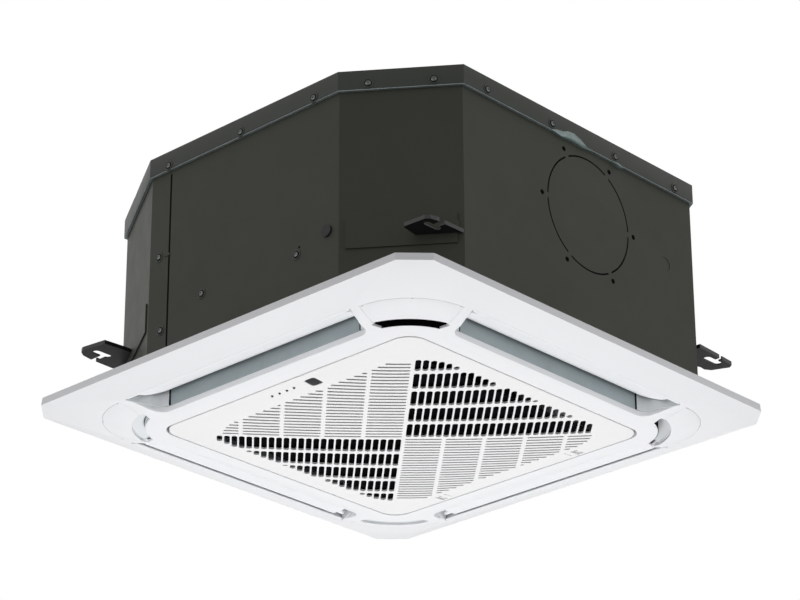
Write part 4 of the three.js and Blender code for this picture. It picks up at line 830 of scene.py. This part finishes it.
def make_grille():
    plate = build(crowned_slab())
    edge = capped_loft([
        round_ring(GRILLE_HALF - 3, GRILLE_CORNER - 3, -10),
        round_ring(GRILLE_HALF - 3, GRILLE_CORNER - 3, 5.9),
        round_ring(GRILLE_HALF - 0.9, GRILLE_CORNER - 0.9, 7.3),
        round_ring(GRILLE_HALF - 0.2, GRILLE_CORNER - 0.2, 8.2),
        round_ring(GRILLE_HALF, GRILLE_CORNER, 9.4),
        round_ring(GRILLE_HALF, GRILLE_CORNER, 40),
    ])
    common(plate, edge)
    cut(plate, together(slots))
    join(plate, together(blades))
    wall = ring_loft([
        round_ring(GRILLE_HALF - 0.3, GRILLE_CORNER - 0.3, 9.2),
        round_ring(GRILLE_HALF - 2.5, GRILLE_CORNER - 2.5, 9.2),
        round_ring(GRILLE_HALF - 2.5, GRILLE_CORNER - 2.5, TRAY_TOP),
        round_ring(GRILLE_HALF, GRILLE_CORNER, TRAY_TOP),
        round_ring(GRILLE_HALF, GRILLE_CORNER, 9.6),
    ])
    join(plate, wall)
    for end in (-1, 1):
        y = end * CATCH_Y
        join(plate, box(186.3, 206.2, y - 6.4, y + 6.4, 8, 11.1))
    tools = [prism(rounded_square(LENS_X, LENS_Y, 8.55, 3.5), 0, 16)]
    for y in LAMPS_Y:
        tools.append(moved(lathe([(1.9, 0), (1.9, 16)], 16), Matrix.Translation((LAMP_X, y, 0))))
    for end in (-1, 1):
        y = end * CATCH_Y
        tools.append(box(188, 204.6, y - 5, y + 5, 0, 16))
        tools.append(box(186.5, 202, end * 101 - 0.8, end * 101 + 0.8, 5.3, 7.6))
    cut(plate, *tools)
    for end in (-1, 1):
        bore = lathe([(PIN_BORE, 0), (PIN_BORE, 30)], 20)
        cut(plate, moved(bore, along_y(HINGE_X, end * 205 - 15, HINGE_Z)))
    return plate


finish_piece(make_grille(), "intake_grille_moulding", GRILLE, body="grille",
             stands_for=["intake_grille"], smooth=28)

# Receiver lens, lamps, latches and filter behind the plate.
lens_rings = []
for inset, z in ((1.2, -0.1), (0.35, 0.1), (0.0, 0.5), (0.0, 5.0)):
    outline = rounded_square(LENS_X, LENS_Y, 8.25 - inset, 3.2 - inset / 2)
    lens_rings.append([(x, y, crown(x, y) + 0.25 + z) for x, y in outline])
finish_piece(build(capped_loft(lens_rings)), "receiver_window", LENS, body="grille",
             stands_for=["receiver_lens"], smooth=50)
LAMP_PROFILE = [(0.3, -0.1), (1.2, 0.05), (1.7, 0.5), (1.7, 5)]
lamps = together([
    moved(lathe(LAMP_PROFILE, 16), Matrix.Translation((LAMP_X, y, crown(LAMP_X, y) + 0.3)))
    for y in LAMPS_Y
])
finish_piece(build(lamps), "indicator_lamps", LAMP, body="grille", smooth=60)

for place, end in (("front", -1), ("rear", 1)):
    y = end * 114
    latch = build(box(185.9, 205.7, y - 8, y + 8, 11.4, 14.6))
    join(latch, capped_loft([
        [(197.5, y - 4, 8.4), (203.4, y - 4, 9.1), (203.4, y + 4, 9.1), (197.5, y + 4, 8.4)],
        [(197.1, y - 4, 12), (203.8, y - 4, 12), (203.8, y + 4, 12), (197.1, y + 4, 12)],
    ]))
    finish_piece(latch, f"grille_catch_{place}", GRILLE, body=f"latch_{place}",
                 stands_for=[f"grille_latch_{place}"], bevel=0.4)

net = build(prism(rounded_square(0, 0, 168, 16), 8.2, 9.0))
bars = []
for i in range(6):
    at = -164 + 65.6 * i
    bars += [box(at - 2, at + 2, -167, 167, 8.9, 10.4), box(-167, 167, at - 2, at + 2, 8.9, 10.4)]
for bar in bars:
    join(net, bar)
finish_piece(net, "filter_cloth", NET, body="grille", stands_for=["air_filter"])

# ---------------------------------------------------------------- casing


def octagon(inset):
    """The casing's eight-sided outline, moved inwards by an inset."""
    half = BODY_HALF - inset
    points = []
    for sx, sy, cut_x, cut_y in CUTS:
        length = math.hypot(cut_x, cut_y)
        nx, ny = cut_y / length, cut_x / length
        reach = nx * BODY_HALF + ny * (BODY_HALF - cut_y) - inset
        on_x = (sx * half, sy * (reach - nx * half) / ny)
        on_y = (sx * (reach - ny * half) / nx, sy * half)
        points += [on_x, on_y] if sx * sy > 0 else [on_y, on_x]
    return points


def hole(x, y, z, normal, radius, depth=6, steps=16):
    return moved(lathe([(radius, -depth), (radius, depth)], steps), facing((x, y, z), normal))


LEFT, FRONT = (-1, 0, 0), (0, -1, 0)
KNOCKOUT = (17.5, 211.0)
KNOCKOUT_INNER, KNOCKOUT_OUTER = 73.2, 75.4
# Black inlays that paint the shadow inside the knock-out slits, the holes and the side seam.
SLIT_SHADOWS = []


def corner_normal(sx, sy):
    cut_x, cut_y = next((cx, cy) for ax, ay, cx, cy in CUTS if (ax, ay) == (sx, sy))
    length = math.hypot(cut_x, cut_y)
    return (sx * cut_y / length, sy * cut_x / length, 0)


NEAR = corner_normal(-1, -1)


def make_casing():
    shell = build(prism(octagon(0), BODY_BOTTOM, 322.5))
    cut(
        shell,
        prism(octagon(1.2), BODY_BOTTOM + 1.2, 330),
        prism(octagon(4), BODY_BOTTOM - 1, BODY_BOTTOM + 5),
    )
    kx, kz = KNOCKOUT
    for k in range(6):
        start, stop = math.radians(k * 60 + 2.5), math.radians(k * 60 + 57.5)
        steps = 14
        turns = [start + (stop - start) * i / steps for i in range(steps + 1)]
        outline = [(KNOCKOUT_OUTER * math.cos(a), KNOCKOUT_OUTER * math.sin(a)) for a in turns]
        outline += [(KNOCKOUT_INNER * math.cos(a), KNOCKOUT_INNER * math.sin(a)) for a in turns[::-1]]
        place = facing((kx, -BODY_HALF, kz), FRONT)
        cut(shell, moved(prism(outline, -0.75, 3), place))
        SLIT_SHADOWS.append(moved(prism(outline, -0.74, -0.3), place))
        angle = math.radians(k * 60)
        x, z = kx + 84.5 * math.cos(angle), kz + 84.5 * math.sin(angle)
        cut(shell, hole(x, -BODY_HALF, z, FRONT, 3.3))
        SLIT_SHADOWS.append(hole(x, -BODY_HALF + 1.4, z, FRONT, 3.2, 0.4))
    cut(
        shell,
        hole(-BODY_HALF, -155.5, 125.6, LEFT, 6.3),
        hole(-BODY_HALF, -110.6, 120.5, LEFT, 1.6),
        hole(BODY_HALF, 158.9, 204, (1, 0, 0), 7, 8),
        hole(BODY_HALF, 158.9, 244, (1, 0, 0), 4.4, 8),
        box(-BODY_HALF - 1, -BODY_HALF + 0.9, 110.4, 113.4, 64, 294),
        moved(lathe([(11.6, -30), (11.6, 30)], 32), facing((247.5, 232, 147.5), corner_normal(1, 1))),
    )
    join(shell, box(-BODY_HALF - 0.9, -BODY_HALF + 0.5, 110.5, 119.5, 184, 187.5))
    dent = moved(lathe([(9, -0.5), (9, 2)], 28), facing((163, -BODY_HALF, 196), FRONT))
    cut(shell, dent)
    return shell


casing = make_casing()
# Painted shadow in the seam groove and in the small hole on the left side.
SLIT_SHADOWS += [
    box(-BODY_HALF + 0.2, -BODY_HALF + 0.88, 110.5, 113.3, 64.1, 293.9),
    hole(-BODY_HALF + 1.4, -110.6, 120.5, LEFT, 1.5, 0.4),
]
finish_piece(build(together(SLIT_SHADOWS)), "casing_shadows", PAINTED_HOLE_SHADE)
finish_piece(casing, "casing_shell", CASING, stands_for=["body_shell"], smooth=25)


def make_lid():
    skirt = build(prism(octagon(-4), 299, BODY_TOP))
    cut(skirt, prism(octagon(-2.8), 298, 322.8))
    for half, z in ((250, BODY_TOP), (170, BODY_TOP)):
        groove = ring_loft([
            round_ring(half, 40, z + 1), round_ring(half, 40, z - 0.5),
            round_ring(half - 6, 36, z - 0.5), round_ring(half - 6, 36, z + 1),
        ])
        cut(skirt, groove)
    return skirt


finish_piece(make_lid(), "lid_pressing", LID_PAINT,
             stands_for=["lid"], bevel=0.5, smooth=25)

# A thin strip under the lid's skirt in the pale metal colour: a bare cut edge, lightened further as a painted
# highlight where light from below catches it.
hem = build(prism(octagon(-4), 298.2, 299.6))
cut(hem, prism(octagon(-0.4), 297, 301))
finish_piece(hem, "lid_hem_painted_highlight", HEM_HIGHLIGHT)

# Screws: a pressed dimple with a domed head in it.


def screw(x, y, z, normal, head=3.2):
    dimple = lathe([(6.9, -0.4), (6.9, 0.2), (6.0, 1.0), (5.0, 0.9), (4.3, 0.1), (4.2, 0.0)], 28)
    dome = lathe([
        (head, -0.2), (head, 1.1), (head * 0.75, 1.75), (head * 0.45, 1.95), (0.35 * head, 1.2), (0.05, 1.1),
    ], 20)
    place = facing((x, y, z), normal)
    return moved(dimple, place), moved(dome, place)


def out_from(x, y, normal, distance):
    return x + normal[0] * distance, y + normal[1] * distance


SECOND_NEAR = (-213.1, -279.0, 121.0, NEAR)
screw_places = (
    [(-BODY_HALF, y, z, LEFT) for y, z in ((52.5, 113.8), (-106.3, 112.0), (129.7, 186.8), (123.2, 87.7))]
    + [(-294.0, y, 304.5, LEFT) for y in (113, -13, -136)]
    + [(x, -294.0, 304.5 + 2, FRONT) for x in (-166, -50, 68, 184)]
    + [(-260.7, -212.2, 114.0, NEAR), SECOND_NEAR]
    + [(*out_from(-269, -201, NEAR, 0.0), 306.5, NEAR), (*out_from(-223.5, -263, NEAR, 0.0), 306.5, NEAR)]
)


rings, heads = [], []
for x, y, z, normal in screw_places:
    if normal is NEAR:
        offset = BODY_HALF * -NEAR[0] + (BODY_HALF - 116) * -NEAR[1] + (4 if z > 299 else 0)
        travel = offset - (x * NEAR[0] + y * NEAR[1])
        x, y = x + NEAR[0] * travel, y + NEAR[1] * travel
    ring, head = screw(x, y, z, normal)
    rings.append(ring)
    heads.append(head)
finish_piece(build(together(rings)), "screw_dimples", LID_PAINT, smooth=50)
finish_piece(build(together(heads)), "casing_screws", SCREW, smooth=50)

# Crumpled insulation foil that shows below the front flange.
foil = [
    ((-52, 298.6), (-40, 302.6), (-29, 304.2), (-21, 307.6), (-9, 309.0), (3, 305.2), (14, 299.6), (23, 297.6),
     (10, 296.2), (-12, 297.4), (-33, 296.3)),
    ((60, 299.4), (72, 299.0), (86, 297.2), (76, 295.6), (64, 297.2)),
]
for n, outline in enumerate(foil):
    middle = (sum(x for x, _ in outline) / len(outline), sum(z for _, z in outline) / len(outline))
    rim = [(x, -294.1, z) for x, z in outline]
    swell = [
        (x + (middle[0] - x) * 0.35, -295.3 - 0.5 * (i % 2), z + (middle[1] - z) * 0.35)
        for i, (x, z) in enumerate(outline)
    ]
    root = [(x, -290.2, z) for x, z in outline]
    finish_piece(build(capped_loft([root, rim, swell])), f"foil_fold_{n}", FOIL, smooth=18)

# ---------------------------------------------------------------- the remaining CAD nodes keep their shape

kept = {
    "panel_seal": SEAL, "foam_liner": FOAM, "drain_pan": FOAM, "drain_plug": RUBBER,
    "heat_exchanger": FINS_GAP_SHADE, "coil_end_plate_right": GALVANISED, "coil_end_plate_rear": GALVANISED,
    "gas_pipe": COPPER, "liquid_pipe": COPPER,
    "gas_flare_nut": BRASS, "liquid_flare_nut": BRASS, "pipe_plate": GALVANISED,
    "fan_motor": MOTOR, "motor_shaft": MOTOR, "fan_nut": BRASS, "fan_impeller": PLASTIC, "bell_mouth": PLASTIC,
    "drain_pump": PLASTIC, "pump_float": FOAM, "drain_outlet": PLASTIC, "control_box": GALVANISED,
    "control_box_cover": GALVANISED, "control_board": BOARD, "terminal_block": PLASTIC, "display_board": LAMP,
    "hinge_pin_front": MOTOR, "hinge_pin_rear": MOTOR,
}
for name in nodes:
    if name.startswith("motor_mount"):
        kept[name] = RUBBER
    elif name.startswith("panel_duct"):
        kept[name] = DUCT
    elif name.startswith("vane_motor"):
        kept[name] = PLASTIC
    elif name.startswith("hanger_bracket"):
        kept[name] = HOOK
for name, material in kept.items():
    mesh = nodes[name].data
    mesh.materials.clear()
    mesh.materials.append(material)
    mesh.shade_smooth()
    mesh.set_sharp_from_angle(angle=math.radians(32))

# Each bracket's flange is painted with the casing.
for name in nodes:
    if not name.startswith("hanger_bracket"):
        continue
    sx = -1 if name.endswith("left") else 1
    sy = -1 if "front" in name else 1
    normal = Vector(corner_normal(sx, sy))
    cut_x, cut_y = next((cx, cy) for ax, ay, cx, cy in CUTS if (ax, ay) == (sx, sy))
    face = (normal.x * sx * BODY_HALF + normal.y * sy * (BODY_HALF - cut_y)) * MM
    mesh = nodes[name].data
    mesh.materials.append(CASING)
    place = nodes[name].matrix_world
    for polygon in mesh.polygons:
        reach = max((place @ mesh.vertices[v].co).dot(normal) for v in polygon.vertices)
        if reach < face + 4 * MM:
            polygon.material_index = 1

# ---------------------------------------------------------------- floor, light and camera


def white_to_eye(tree, lit, target):
    """Shows plain white to the camera and in reflections, and a chosen level to the rest."""
    path = tree.nodes.new("ShaderNodeLightPath")
    seen = tree.nodes.new("ShaderNodeMath")
    seen.operation = "MAXIMUM"
    tree.links.new(path.outputs["Is Camera Ray"], seen.inputs[0])
    either = tree.nodes.new("ShaderNodeMath")
    either.operation = "MAXIMUM"
    tree.links.new(path.outputs["Is Glossy Ray"], either.inputs[0])
    tree.links.new(path.outputs["Is Transmission Ray"], either.inputs[1])
    tree.links.new(either.outputs["Value"], seen.inputs[1])
    mix = tree.nodes.new("ShaderNodeMix")
    mix.data_type = "RGBA"
    mix.inputs["A"].default_value = lit
    mix.inputs["B"].default_value = (1, 1, 1, 1)
    tree.links.new(seen.outputs["Value"], mix.inputs["Factor"])
    tree.links.new(mix.outputs["Result"], target)


world = bpy.data.worlds.new("studio")
bpy.context.scene.world = world
world.use_nodes = True
backdrop = world.node_tree.nodes["Background"]
backdrop.inputs["Strength"].default_value = 1.0
white_to_eye(world.node_tree, (0.27, 0.27, 0.275, 1), backdrop.inputs["Color"])

# The floor lies far below, so that a camera looking up from under the part stays above it.
FLOOR_Z = -9000.0
FLOOR_HALF = 25000.0
FLOOR_GLOW = 0.62  # added for the eye alone, so that the floor looks pale
floor_mesh = build((
    [(x * FLOOR_HALF, y * FLOOR_HALF, FLOOR_Z) for x, y in ((-1, -1), (1, -1), (1, 1), (-1, 1))],
    [(0, 1, 2, 3)],
))
floor_mesh.data.transform(Matrix.Scale(MM, 4))
floor_mesh.name = "floor"
FLOOR = coating("floor_paper", srgb(238, 238, 238), 0.9, variation=0.01, patches=1.5, specular=0.1)
floor_shader = next(node for node in FLOOR.node_tree.nodes if node.type == "BSDF_PRINCIPLED")
floor_shader.inputs["Emission Color"].default_value = (1, 1, 1, 1)
seen_directly = FLOOR.node_tree.nodes.new("ShaderNodeLightPath")
glow = FLOOR.node_tree.nodes.new("ShaderNodeMath")
glow.operation = "MULTIPLY"
glow.inputs[1].default_value = FLOOR_GLOW
FLOOR.node_tree.links.new(seen_directly.outputs["Is Camera Ray"], glow.inputs[0])
FLOOR.node_tree.links.new(glow.outputs["Value"], floor_shader.inputs["Emission Strength"])
floor_mesh.data.materials.append(FLOOR)


def lamp(name, place, aim, size, power):
    data = bpy.data.lights.new(name, "AREA")
    data.shape = "DISK"
    data.size = size
    data.energy = power
    made = bpy.data.objects.new(name, data)
    bpy.context.scene.collection.objects.link(made)
    made.location = place
    made.rotation_euler = (Vector(aim) - Vector(place)).to_track_quat("-Z", "Y").to_euler()
    made.visible_camera = False
    return made


lamp("below", (0.1, 0.1, -1.4), (0, 0, 0), 1.8, 21.8)
lamp("left", (-2.6, 0.8, 0.15), (0, 0, 0.15), 1.2, 12)
lamp("front", (0.8, -2.6, 0.15), (0, 0, 0.15), 1.2, 13)

AZIMUTH, ROLL = math.radians(46.88), math.radians(-0.24)
place = Vector((-2.4537, -2.2953, -1.3694))
target = Vector((-0.08782, -0.07974, 0.131))
forward = (target - place).normalized()
level = Vector((math.cos(AZIMUTH), -math.sin(AZIMUTH), 0))
up = level.cross(forward)
right_axis = level * math.cos(ROLL) + up * math.sin(ROLL)
up_axis = right_axis.cross(forward)
camera_data = bpy.data.cameras.new("camera")
camera_data.sensor_width = 36
camera_data.lens = 133.6
camera_data.clip_end = 50
camera = bpy.data.objects.new("camera", camera_data)
bpy.context.scene.collection.objects.link(camera)
camera.matrix_world = Matrix((
    (right_axis.x, up_axis.x, -forward.x, place.x),
    (right_axis.y, up_axis.y, -forward.y, place.y),
    (right_axis.z, up_axis.z, -forward.z, place.z),
    (0, 0, 0, 1),
))
bpy.context.scene.camera = camera
bpy.context.scene.view_settings.view_transform = "Standard"
